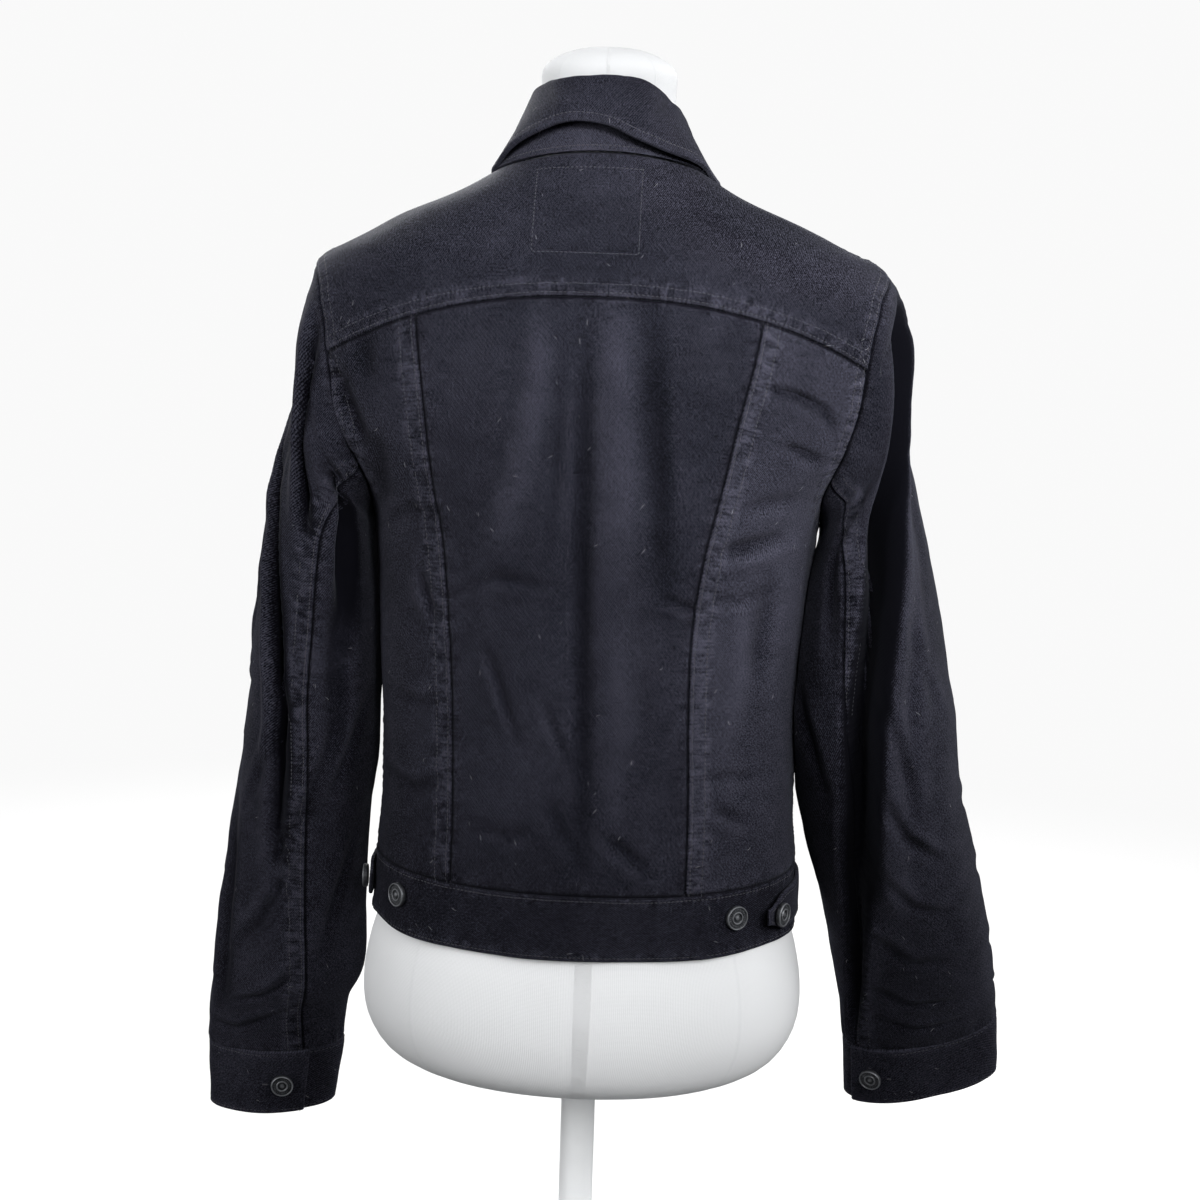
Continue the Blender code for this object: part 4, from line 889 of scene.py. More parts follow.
for side, turned in (("left", lambda line: line), ("right", mirrored)):
    seamLines["armhole_" + side] = seamPoints(turned(armholeLine(underarm, wholeRound)), 240)
    seamLines["side_" + side] = seamPoints(turned(sideSeam))
    seamLines["shoulder_" + side] = seamPoints(turned(shoulderSeam), 60)

# How far the rows of stitches are from each seam
seamRows = {
    "yoke": (0.0026, 0.0088), "princess": (0.0026, 0.0115), "armhole": (0.0026, 0.0088),
    "side": (0.0026, 0.0090), "shoulder": (0.0026, 0.0088), "placket": (0.0025,), "placketEdge": (0.0030,),
    "bandTop": (0.0028,), "bandBottom": (0.0028,), "sleeveBack": (0.0026, 0.0110),
    "sleeveFront": (0.0026, 0.0110), "cuffTop": (0.0028,), "cuffLow": (0.0028,), "cuffOver": (0.0028,),
    "tab": (0.0030,), "collarEdge": (0.0055,), "collarEnd": (0.0055,), "collarFoot": (0.0035,),
    "collarBackFoot": (0.0035,),
}


def rowsOf(name):
    return seamRows[name.split("_")[0]]


def over(name, pucker, seed):
    return {"line": seamLines[name], "over": True, "rows": rowsOf(name), "pucker": pucker, "seed": seed}


def tucked(name, pucker, seed):
    return {"line": seamLines[name], "over": False, "rows": (), "pucker": pucker, "seed": seed}


def endOf(line, share):
    return line(np.array([float(share)]))[0]


def buildBack():
    step = jacket["clothStep"]
    left, right = princessLeft, mirrored(princessRight)
    hemLine = straightLine(endOf(right, 0), endOf(left, 0))
    yokeMiddle = yokeLine(-princessTops[1], princessTops[0])
    across = sharesAlong([onLine(hemLine), onLine(yokeMiddle)], step)
    up = sharesAlong([onLine(left), onLine(right)], step)
    bodyPanel("back_centre", coons(hemLine, left, yokeMiddle, right, across, up), [
        tucked("yoke", 0.9, 1), tucked("princess_left", 1.1, 2), tucked("princess_right", 1.1, 3),
        tucked("band", 0.8, 4)])

    yokePart = 4 / 11  # the yoke seam's share of a side panel's top; the armhole has the rest
    sides = (("left", princessLeft, princessTops[0], 1, 2), ("right", princessRight, princessTops[1], -1, 3))
    for side, seam, top, sign, seed in sides:
        topLine = joinedLine((yokeLine(top, yokeEndAngle), yokePart),
                             (armholeLine(yokeEnd, underarm), 1 - yokePart))
        bottom = straightLine(endOf(seam, 0), endOf(sideSeam, 0))
        across = sharesAlong([onLine(bottom), onLine(topLine)], step, keep=[yokePart])
        up = sharesAlong([onLine(seam), onLine(sideSeam)], step)
        places = coons(bottom, sideSeam, topLine, seam, across, up) * (sign, 1)
        bodyPanel("back_side_" + side, places, [
            tucked("yoke", 0.9, 1), over("princess_" + side, 1.25, seed), tucked("band", 0.8, 4),
            over("armhole_" + side, 1.3, 5), over("side_" + side, 1.0, 6)])


def buildYoke():
    step = jacket["clothStep"]
    side = joinedLine((armholeLine(yokeEnd, shoulder), 0.5), (shoulderSeam, 0.5))
    yoke = yokeLine(-yokeEndAngle, yokeEndAngle)
    neckline = straightLine((-shoulderTop[0], shoulderTop[1]), shoulderTop)
    across = sharesAlong([onLine(yoke), onLine(neckline)], step * 0.62)
    up = sharesAlong([onLine(side)], step * 0.8, keep=[0.5])
    bodyPanel("back_yoke", coons(yoke, side, neckline, mirrored(side), across, up), [
        over("yoke", 0.9, 1), over("armhole_left", 0.7, 5), over("armhole_right", 0.7, 5),
        over("shoulder_left", 0.8, 7), over("shoulder_right", 0.8, 8), tucked("neck", 0.5, 9)])


# The fronts. shoulderRow is the level of the front edge that the shoulder seam's end is joined to
fronts = {"shoulderRow": 0.500, "sideShare": 8 / 25, "armholeShare": 12 / 25, "stepFactor": 1.2,
          "placketColumns": 30, "placketMarks": (0.6, 0.0026)}


def frontEdge(level):
    return 180 - angleAt(jacket["placketHalf"], level)


def frontEdgeLine(t):
    neck, band, row = jacket["neckLevel"], jacket["bandLevel"], fronts["shoulderRow"]
    lower = fronts["sideShare"] + fronts["armholeShare"]
    level = np.where(t < lower, band + (row - band) * t / lower,
                     row + (neck - row) * (t - lower) / (1 - lower))
    return np.stack([frontEdge(level), level], axis=-1)


def placketFarEdge(t):
    level = jacket["bandLevel"] + (jacket["neckLevel"] - jacket["bandLevel"]) * t
    return np.stack([360 - frontEdge(level), level], axis=-1)


def buildFronts():
    step = jacket["clothStep"] * fronts["stepFactor"]
    neck, band = jacket["neckLevel"], jacket["bandLevel"]
    sidePart, armholePart = fronts["sideShare"], fronts["armholeShare"]
    lower = sidePart + armholePart
    side = joinedLine((sideSeam, sidePart), (armholeLine(wholeRound, shoulder), armholePart),
                      (shoulderSeam, 1 - lower))
    edge = frontEdgeLine
    hemLine = straightLine(endOf(side, 0), endOf(edge, 0))
    neckline = straightLine(shoulderTop, endOf(edge, 1))
    across = sharesAlong([onLine(hemLine)], step)
    up = sharesAlong([onLine(side), onLine(edge)], step, keep=[sidePart, lower])
    grid = coons(hemLine, edge, neckline, side, across, up)
    strip = np.linspace(0, 1, fronts["placketColumns"])
    whole, spacing = fronts["placketMarks"]
    levels = band + (neck - band) * np.interp(marksAlong(whole, spacing), (0, whole), (0, 1))
    start = frontEdge(levels)[:, None]
    angles = start + (360 - 2 * start) * strip[None]
    for sideName, sign in (("left", 1), ("right", -1)):
        placket, placketEdge = "placket_" + sideName, "placketEdge_" + sideName
        seamLines[placket] = seamPoints(lambda t: edge(t) * (sign, 1), 200)
        seamLines[placketEdge] = seamPoints(lambda t: placketFarEdge(t) * (sign, 1), 200)
        lift = frontLift(jacket["cloth"] + jacket["layerGap"]) if sideName == "right" else None
        bodyPanel("front_" + sideName, grid * (sign, 1), [
            tucked(placket, 0.6, 11), over("armhole_" + sideName, 1.0, 5),
            tucked("shoulder_" + sideName, 0.6, 7), tucked("side_" + sideName, 0.8, 6),
            tucked("band", 0.8, 4), tucked("neck", 0.5, 9)], fromFront=True, lift=lift)
        places = np.stack([angles * sign, np.repeat(levels[:, None], len(strip), 1)], axis=-1)
        bodyPanel("front_" + placket, places, [
            over(placket, 0.6, 11), over(placketEdge, 0.5, 12), tucked("band", 0.5, 4)],
                  fromFront=True, lift=lift)


# the waistband is painted darker all over, as shade low down where less light falls
waistband = {"overlapAngle": 189, "step": 0.0019, "upStep": 0.0018, "wearAndShading": -0.55, "endDrop": 0.0009,
             "endWidth": 0.0012, "wave": 0.0012, "waves": 9, "waveStart": 0.6, "underWave": 0.3,
             "innerEvery": 4}


def buildWaistband():
    end, band = waistband["overlapAngle"], jacket["bandLevel"]
    angles = end - 2 * end * marksAlong(1.0, waistband["step"])
    levels = marksAlong(band, waistband["upStep"], fineMarks)
    places = np.stack(np.broadcast_arrays(angles[None], levels[:, None]), axis=-1)
    lift = frontLift(jacket["doubleCloth"] + jacket["layerGap"])
    angle, level = places.reshape(-1, 2).T
    base, normal = bodyBase(angle, level), bodyNormal(angle, level)
    for name, height in (("bandTop", band), ("bandBottom", 0)):
        seamLines[name] = seamPoints(straightLine((end, height), (-end, height)), 400)
    edge, wearAndShading, beside = seamRelief(base, [over("bandTop", 0.8, 4), over("bandBottom", 0.8, 14)])
    for sign in (1, -1):
        away, _ = nearestOn(base, seamPoints(straightLine((sign * end, 0), (sign * end, band)), 20))
        drop = waistband["endDrop"] * (1 - smooth(away / waistband["endWidth"]))
        edge -= np.where(angle * sign > 150, drop, 0)
    wave = waistband["wave"] * np.sin(np.radians(angle) * waistband["waves"] + waistband["waveStart"])
    wave = wave * (1 - level / band)
    wave = wave + 0.0005 * cloud(base, 0.03, 21)
    wave = np.where(np.abs(angle) < 180, wave, wave * waistband["underWave"])
    hang = lift(angle) + wave + 0.0003 * cloud(base, 0.009, 22)
    shape = places.shape[:2] + (3,)
    outer = (base + normal * (hang + edge)[:, None]).reshape(shape)
    inner = (base + normal * (hang - jacket["doubleCloth"])[:, None]).reshape(shape)
    flat = np.stack([level, wayRound(angle, level)], axis=-1).reshape(places.shape)
    keepCloth("waistband", outer, inner, flat, wearAndShading + waistband["wearAndShading"], beside=beside,
              every=waistband["innerEvery"])


buildBack()
buildYoke()
buildFronts()
buildWaistband()
print("body done")


# Edges of double cloth: rounded over, with a row of stitching beside them, rippled along it and rubbed
def rolledEdge(points, lines, width=0.0013, drop=0.0009):
    fall = np.zeros(len(points))
    for line in lines:
        away, _ = nearestOn(points, line)
        fall = np.maximum(fall, drop * (1 - smooth(away / width)) ** 1.5)
    return -fall


edgeShape = {"slant": 0.3, "rippleStart": 0.002, "rubFade": 0.006, "worn": 0.9}


def stitchedEdges(points, lines, row, look, seed):  # lines: each line, and which points are its own
    relief, wearAndShading, s = np.zeros(len(points)), np.zeros(len(points)), edgeShape
    plain, rippled = look["rubbed"]
    for k, (line, mine) in enumerate(lines):
        away, along = nearestOn(points, line)
        waves = ripple(along + s["slant"] * away, seed + k)
        groove = look["groove"] * np.exp(-(((away - row) / look["grooveWidth"]) ** 2))
        reach = 1 - smooth((away - look["rippleFrom"]) / look["rippleFade"])
        reach = reach * smooth(away / s["rippleStart"])
        relief += np.where(mine, look["ripple"] * waves * reach - groove, 0)
        rubbed = (1 - smooth((away - look["rubbedFrom"]) / s["rubFade"])) * (plain + rippled * waves)
        worn = s["worn"] * (1 - smooth(away / look["wornWidth"]))
        wearAndShading = np.maximum(wearAndShading, np.where(mine, np.maximum(rubbed, worn), 0))
    return relief, wearAndShading


tabs = {
    "start": 97, "end": {"left": 76, "right": 54}, "length": {"left": 0.062, "right": 0.098},
    "level": 0.0225, "halfHeight": 0.0135, "pointStart": 0.72, "pointHeight": 0.4,
    "curl": {"left": 0.0025, "right": 0.0055}, "step": 0.0016, "acrossStep": 0.055, "innerEvery": 3,
    "uneven": ((0.00035, 0.011), (0.0006, 0.030)), "sewnFrom": 0.7, "sewnPoint": 0.12, "sewnEnd": 0.8,
    "edge": {"groove": 0.0002, "grooveWidth": 0.0007, "ripple": 0, "rippleFrom": 0.003, "rippleFade": 0.008,
             "rubbed": (0, 0), "rubbedFrom": 0.002, "wornWidth": 0.0018},
}


def tabPoint(side, run, across):  # run from the fixed end to the free one, across from -1 to 1
    angle = tabs["start"] + (tabs["end"][side] - tabs["start"]) * run
    pointed = smooth((run - tabs["pointStart"]) / (1 - tabs["pointStart"]))
    half = tabs["halfHeight"] * (1 - (1 - tabs["pointHeight"]) * pointed)
    level = tabs["level"] + half * across
    out = jacket["layerGap"] + jacket["doubleCloth"] + tabs["curl"][side] * np.maximum(0, run) ** 3
    return bodyBase(signs[side] * angle, level), bodyNormal(signs[side] * angle, level), out


def buildTabs():
    for side, sign in signs.items():
        length = tabs["length"][side]
        runs, across = marksAlong(1.0, tabs["step"] / length), marksAlong(1.0, tabs["acrossStep"]) * 2 - 1
        run, cross = (grid.ravel() for grid in np.meshgrid(runs, across, indexing="ij"))
        base, normal, out = tabPoint(side, run, cross)
        points = base + normal * out[:, None]
        shape = (len(runs), len(across), 3)
        grid = points.reshape(shape)
        borders = [grid[:, 0], grid[:, -1], grid[0], grid[-1]]
        lines = [(line, True) for line in borders]
        stitched, wearAndShading = stitchedEdges(points, lines, rowsOf("tab")[0], tabs["edge"], 0)
        relief = rolledEdge(points, borders) + stitched
        relief += uneven(points, 31, *tabs["uneven"])
        outer = (points + normal * relief[:, None]).reshape(shape)
        inner = (base + normal * (out - jacket["doubleCloth"])[:, None]).reshape(shape)
        flat = np.stack([cross * tabs["halfHeight"], -sign * run * length], axis=-1).reshape(shape[:2] + (2,))
        keepCloth("waist_tab_" + side, outer, inner, flat, wearAndShading, every=tabs["innerEvery"])


# Sleeves. place is how far down the sleeve (0 the armhole, 13 the cuff), and step how far round it: 4 is the
# back seam, 20 the front seam and 0 or 24 the underarm
sleeves = {
    "last": 13, "frontSeam": -104, "backStep": 4, "frontStep": 20, "allSteps": 24, "headPlaces": 4.5,
    "headSpread": 0.022, "clearance": 0.0016, "placeLength": 0.047, "degreeLength": 0.001,
    "holeSteps": (0, 4, 7, 12, 24), "holePlaces": (0, 1.5, 4, 7, 13), "leanLength": 0.006,
    "panels": {"top_sleeve": (4, 20), "under_sleeve": (20, 28)},  # their first and last step
    # how far the cap sinks, round this angle and from this place on
    "capFall": {"left": 0.0040, "right": 0.0065}, "capAngle": 14, "capHalfAngle": 62, "capFrom": 0.2,
    "capPlaces": 4.8, "uneven": ((0.0011, 0.045), (0.00050, 0.020), (0.00018, 0.009)),
    "aboveUnderarm": 0.05, "spreadPlaces": 3, "pushPlaces": 1.5,
    # the body's armhole rises by these times the depth squared, at the back and the front
    "holeCurve": (8.6, 7.7), "holeMargin": 0.006, "lowMargin": 0.02,
    "mostTuck": 0.0014, "clearFrom": 0.3, "innerClearance": 0.0013, "outerClearance": 0.0006,
    # painted light and shade of the folds: a painted highlight on their ridges and painted shade in their
    # troughs, which takes in the wall beyond each trough as well, where a shadow falls
    "foldLight": 170, "mostFoldLight": 0.4, "foldDark": 4.5, "darkDepth": 0.012, "farWall": 0.007,
    "closer": 0.0006, "closerLength": 0.003,  # how near the sewn edge comes to the body's panel
    "gather": 0.0009, "gathers": 17, "gatherPlaces": 0.9,
    # place, outer point, its height, inner point, its height, middle front to back, depth, back seam's angle
    "left": np.array([
        (0, 0.1900, 0.468, 0.1560, 0.300, 0.002, 0.120, 132),
        (1, 0.1955, 0.449, 0.1575, 0.291, 0.000, 0.124, 124),
        (2, 0.2015, 0.419, 0.1580, 0.283, -0.003, 0.128, 116),
        (3, 0.2155, 0.374, 0.1585, 0.272, -0.006, 0.130, 109),
        (4, 0.2275, 0.330, 0.1570, 0.258, -0.008, 0.128, 104),
        (5, 0.2365, 0.283, 0.1550, 0.240, -0.010, 0.124, 100),
        (6, 0.2435, 0.227, 0.1530, 0.205, -0.013, 0.119, 96),
        (7, 0.2490, 0.172, 0.1540, 0.160, -0.016, 0.113, 94),
        (8, 0.2555, 0.115, 0.1570, 0.108, -0.021, 0.106, 98),
        (9, 0.2650, 0.055, 0.1635, 0.050, -0.028, 0.098, 103),
        (10, 0.2735, 0.000, 0.1665, -0.005, -0.035, 0.090, 106),
        (11, 0.2825, -0.060, 0.1680, -0.062, -0.042, 0.080, 109),
        (12, 0.2870, -0.097, 0.1800, -0.093, -0.046, 0.066, 114),
        (13, 0.2895, -0.132, 0.1850, -0.128, -0.049, 0.054, 119),
    ]),
    "right": np.array([
        (0, 0.1900, 0.468, 0.1560, 0.300, 0.002, 0.120, 132),
        (1, 0.2035, 0.452, 0.1560, 0.291, 0.001, 0.124, 126),
        (2, 0.2105, 0.424, 0.1545, 0.283, 0.001, 0.128, 120),
        (3, 0.2155, 0.378, 0.1520, 0.272, 0.002, 0.132, 115),
        (4, 0.2225, 0.336, 0.1490, 0.258, 0.003, 0.132, 110),
        (5, 0.2335, 0.283, 0.1450, 0.240, 0.005, 0.132, 108),
        (6, 0.2470, 0.225, 0.1380, 0.205, 0.007, 0.130, 108),
        (7, 0.2585, 0.168, 0.1360, 0.160, 0.006, 0.126, 109),
        (8, 0.2680, 0.110, 0.1480, 0.108, -0.002, 0.116, 114),
        (9, 0.2825, 0.060, 0.1610, 0.053, -0.018, 0.104, 124),
        (10, 0.2950, 0.011, 0.1760, 0.002, -0.035, 0.094, 134),
        (11, 0.3060, -0.034, 0.1870, -0.047, -0.053, 0.084, 142),
        (12, 0.3120, -0.063, 0.1940, -0.083, -0.063, 0.070, 146),
        (13, 0.3160, -0.091, 0.2000, -0.116, -0.073, 0.058, 148),
    ]),
}

# By (place, angle) from end to end: half width in degrees, depth in millimetres (ridges are negative) and the
# ridge beside it
sleeveFolds = {
    "left": [
        ([(2.9, 8), (4.5, 42), (6, 58), (7.5, 69), (9.6, 82)], 10, 8, 0.4),
        ([(0.5, 60), (2.5, 74), (4.6, 86)], 12, 8.5, 0.4),
        ([(1.4, 118), (3.2, 130), (6.2, 124)], 15, 9.5, 0.3), ([(5, 112), (8, 118)], 14, 3.5, 0.2),
        ([(4.5, -70), (9, -50)], 16, 4, 0.2), ([(8.5, 20), (12, 40)], 14, 3.5, 0.3),
        ([(1, -80), (4.5, -100)], 14, 3.5, 0.2), ([(3.2, 48), (5.6, 30), (7, 10)], 8, 1.6, 0.5),
        ([(6.2, 86), (7.6, 70), (8.6, 44)], 8, 2, 0.6), ([(7.4, 118), (8.6, 98), (9.4, 70)], 7, 1.8, 0.6),
        ([(9.3, 96), (10.2, 70), (10.8, 40)], 8, 2, 0.6),
        ([(10.6, 108), (11.4, 80), (11.7, 50)], 8, 1.8, 0.6),
        ([(11.9, 100), (12.4, 60), (12.3, 20)], 7, 1.6, 0.6),
        ([(7, 150), (8, 128), (8.7, 112)], 8, 1.6, 0.5),
        ([(8.8, 150), (9.9, 130), (10.9, 114)], 8, 1.6, 0.5),
        ([(5.8, 20), (6.6, -10), (6.8, -40)], 9, 1.8, 0.5),
        ([(7, 20), (7.6, -15), (7.5, -50)], 8, 2.2, 0.6), ([(8, 5), (8.5, -25), (8.3, -60)], 8, 2, 0.6),
        ([(9.8, 10), (10.3, -20), (10.1, -60)], 8, 1.8, 0.6),
        ([(11.3, 15), (11.7, -20), (11.4, -60)], 8, 1.6, 0.6),
        ([(7.2, -60), (7.6, -95), (7.4, -130)], 9, 2.4, 0.6),
        ([(6.2, -70), (6.5, -105), (6.3, -140)], 9, 2, 0.5),
        ([(2, -30), (4, -20), (6, -24)], 12, 1.8, 0.2),
    ],
    "right": [
        ([(0.7, 22), (1.5, 40), (2.6, 57), (5.4, 78)], 15, 14, 0.35),
        ([(3.2, 62), (5, 78), (6.6, 93), (9.6, 112)], 16, 15, 0.45),
        ([(7.4, 104), (9, 120), (10.8, 138), (12.6, 152)], 13, 9, 0.3),
        ([(1.5, 28), (4.5, 46), (8.5, 64)], 13, -2, 0), ([(4.5, -70), (9, -50)], 16, 4, 0.2),
        ([(1, -80), (4.5, -100)], 14, 3.5, 0.2), ([(6.4, 90), (7, 78), (7.8, 66)], 7, 2.8, 0.5),
        ([(7.5, 92), (8.3, 76), (8.7, 56)], 7, 2.6, 0.6), ([(5.4, 66), (6.4, 50), (7.2, 30)], 8, 0.8, 0.5),
        ([(8.7, 100), (9.4, 82), (9.6, 58)], 7, 1.6, 0.6),
        ([(9.8, 118), (10.4, 92), (10.4, 62)], 8, 1.4, 0.6),
        ([(10.9, 128), (11.5, 98), (11.5, 62)], 8, 1.3, 0.6),
        ([(11.9, 126), (12.3, 96), (12.2, 60)], 7, 1.3, 0.6),
        ([(3, 112), (4.6, 122), (6.2, 118)], 9, 2.2, 0.3),
        ([(6.4, 146), (7.2, 134), (8, 128)], 8, 2.2, 0.4),
        ([(8.2, 10), (8.4, -20), (8, -50)], 8, 1.6, 0.6), ([(7, -6), (7.1, -30), (6.7, -60)], 9, 2, 0.6),
        ([(9.3, 6), (9.6, -20), (9.2, -60)], 8, 1.6, 0.6),
        ([(10.6, 10), (10.9, -20), (10.5, -60)], 8, 1.6, 0.6),
        ([(5.8, -8), (6, -35), (5.7, -65)], 9, 1.4, 0.5),
        ([(7.4, -60), (7.7, -95), (7.4, -135)], 9, 2.6, 0.6),
        ([(6.3, -70), (6.6, -105), (6.3, -145)], 9, 2, 0.5),
        ([(8.6, -60), (8.9, -95), (8.6, -130)], 8, 2, 0.5),
        ([(1.6, 6), (3.4, 20), (5.4, 34)], 9, 1.6, 0.3),
        ([(11.7, 20), (11.9, -10), (11.6, -60)], 7, 1.2, 0.5),
    ],
}


def sectionFrame(rows):
    zero = rows[..., 5]
    outer = np.stack([rows[..., 1], zero, hem + rows[..., 2]], axis=-1)
    inner = np.stack([rows[..., 3], zero, hem + rows[..., 4]], axis=-1)
    return (outer + inner) / 2, (outer - inner) / 2


def depthDirection(side, place):
    table = sleeves[side]
    before = sectionFrame(blendRows(table, np.maximum(place - 0.5, 0)))[0]
    after = sectionFrame(blendRows(table, np.minimum(place + 0.5, sleeves["last"])))[0]
    direction = unit(np.cross(after - before, sectionFrame(blendRows(table, place))[1]))
    return direction * np.where(direction[..., 1:2] < 0, -1, 1)


def sleeveFrame(side, place):
    rows = blendRows(sleeves[side], place)
    middle, span = sectionFrame(rows)
    back = depthDirection(side, place) * rows[..., 6:7] / 2
    return middle, span, back, unit(np.cross(span, back)), rows


def evenAngle(step, backSeam):
    back, front, last = sleeves["backStep"], sleeves["frontStep"], sleeves["allSteps"]
    frontSeam = sleeves["frontSeam"]
    return np.where(step <= back, 180 + (backSeam - 180) * step / back, np.where(
        step <= front, backSeam + (frontSeam - backSeam) * (step - back) / (front - back),
        frontSeam + (-180 - frontSeam) * (step - front) / (last - front)))


def holePoint(side, step):  # the armhole's edge, as on the wearer's left
    sign = signs[side]
    angle, level = armholePlace(np.interp(step, sleeves["holeSteps"], sleeves["holePlaces"])).T
    base, normal = bodyBase(sign * angle, level), bodyNormal(sign * angle, level)
    point = base + normal * bodyFolds(sign * angle, level, base)[:, None]
    return point * (sign, 1, 1), normal * (sign, 1, 1)


def clearOfBody(point, clearance):
    height, y = point[:, 2] - hem, point[:, 1]
    level = np.minimum(height, jacket["neckLevel"])
    for _ in range(3):
        ring = blendRows(bodyRings, level)
        depth = np.where(y > 0, ring[:, 4], ring[:, 5])
        along = np.minimum(1, np.abs(y) / depth)
        endHeight = np.where(y > 0, ring[:, 0], ring[:, 2])
        level = level + height - (ring[:, 1] + (endHeight - ring[:, 1]) * along**2)
    ring = blendRows(bodyRings, level)
    depth = np.where(y > 0, ring[:, 4], ring[:, 5])
    power = ring[:, 6]
    reach = (np.abs(point[:, 0] / ring[:, 3]) ** power + np.abs(y / depth) ** power) ** (1 / power)
    outward = point * (1, 1, 0)
    length = np.linalg.norm(outward, axis=1)
    push = length / reach + clearance - length
    margin, (backRise, frontRise) = sleeves["holeMargin"], sleeves["holeCurve"]
    holeEdge = jacket["underarmLevel"] + np.where(y > 0, backRise, frontRise) * y**2
    onPanel = smooth((holeEdge + margin - height) / (2 * margin)) * smooth(1 + height / sleeves["lowMargin"])
    return point + outward / length[:, None] * (np.maximum(0, push) * onPanel)[:, None]


def sleevePoints(side, place, step):  # the face without folds, as on the wearer's left, and its angle
    middle, span, back, normal, rows = sleeveFrame(side, place)
    firstMiddle, firstSpan, firstBack, firstNormal, _ = sleeveFrame(side, np.zeros_like(place))
    hole, _ = holePoint(side, step)
    offset = hole - firstMiddle
    up = (offset * firstSpan).sum(1) / (firstSpan**2).sum(1)
    sideOn = (offset * firstBack).sum(1) / (firstBack**2).sum(1)
    off = (offset * firstNormal).sum(1)
    head = 1 - smooth(place / sleeves["headPlaces"])
    even = evenAngle(step, rows[:, 7])
    holeAngle = np.degrees(np.arctan2(sideOn, up))
    holeAngle = holeAngle + np.where(np.abs(holeAngle - even) > 180, np.sign(even - holeAngle) * 360, 0)
    turn = even + (holeAngle - even) * head
    reach = 1 + (np.hypot(up, sideOn) - 1) * head
    c, s = (reach * wave(np.radians(turn)) for wave in (np.cos, np.sin))
    point = middle + span * c[:, None] + back * s[:, None] + normal * (off * head)[:, None]
    above = smooth((hole[:, 2] - hem - jacket["underarmLevel"]) / sleeves["aboveUnderarm"])
    spread = sleeves["headSpread"] * smooth(place / sleeves["spreadPlaces"]) * above
    least = hole[:, 0] + sleeves["clearance"] * smooth(place) + spread
    late = (place - sleeves["pushPlaces"]) / (sleeves["headPlaces"] - sleeves["pushPlaces"])
    push = np.maximum(0, least - point[:, 0]) * (1 - smooth(late))
    push = np.where(place > 0, push, 0)
    point = point + push[:, None] * np.array([1, 0, 0])
    cleared = clearOfBody(point, sleeves["clearance"] * smooth(place))
    return np.where(place[:, None] > 0, cleared, point), turn


def gridNormals(grid, centre):
    across, along = np.gradient(grid, axis=1), np.gradient(grid, axis=0)
    normal = unit(np.cross(across, along))
    flip = ((grid - centre) * normal).sum(-1).mean() < 0
    return -normal if flip else normal


def lengthMap(grid, sign):  # a grid laid out flat: across it from its middle column, and up from its last row
    across, down = lengthAlong(np.swapaxes(grid, 0, 1)).T, lengthAlong(grid)
    across = across - across[:, across.shape[1] // 2, None]
    up = np.broadcast_to((down[-1] - down).mean(1)[:, None], down.shape)
    return np.stack([sign * across, up], axis=-1)


def sleeveLine(side, places, steps):  # a line on a sleeve, on its own side of the jacket
    places, steps = np.broadcast_arrays(np.asarray(places, float), np.asarray(steps, float))
    return sleevePoints(side, places, np.mod(steps, sleeves["allSteps"]))[0] * (signs[side], 1, 1)


def sleeveGrid(side, first, final):  # each point's place and step on a panel, and the grid's shape
    last, spacing = sleeves["last"], jacket["clothStep"]
    down = sharesAlong([lambda t: sleeveLine(side, t * last, (first + final) / 2)], spacing) * last
    across = sharesAlong([lambda t: sleeveLine(side, 4.0, first + (final - first) * t)], spacing)
    place, step = np.meshgrid(down, first + (final - first) * across, indexing="ij")
    return place.ravel(), step.ravel(), place.shape + (3,)


def sleeveNormals(side, place, step, base, shape):  # outward from the face, and the way off the body's panel
    centre = sleeveFrame(side, place)[0].reshape(shape)
    normal = gridNormals(base.reshape(shape), centre).reshape(-1, 3)
    hole, panelNormal = holePoint(side, np.mod(step, sleeves["allSteps"]))
    edgeWay = np.gradient(hole.reshape(shape), axis=1).reshape(-1, 3)
    offPanel = unit(np.cross(panelNormal, edgeWay))
    inward = sleeveFrame(side, np.zeros_like(place))[0] - hole
    offPanel *= np.where((offPanel * inward).sum(1) < 0, -1, 1)[:, None]
    steep = 1 - smooth(place * sleeves["placeLength"] / sleeves["leanLength"])
    lean = np.maximum(0, (normal * offPanel).sum(1)) * steep
    return unit(normal - offPanel * lean[:, None]), offPanel


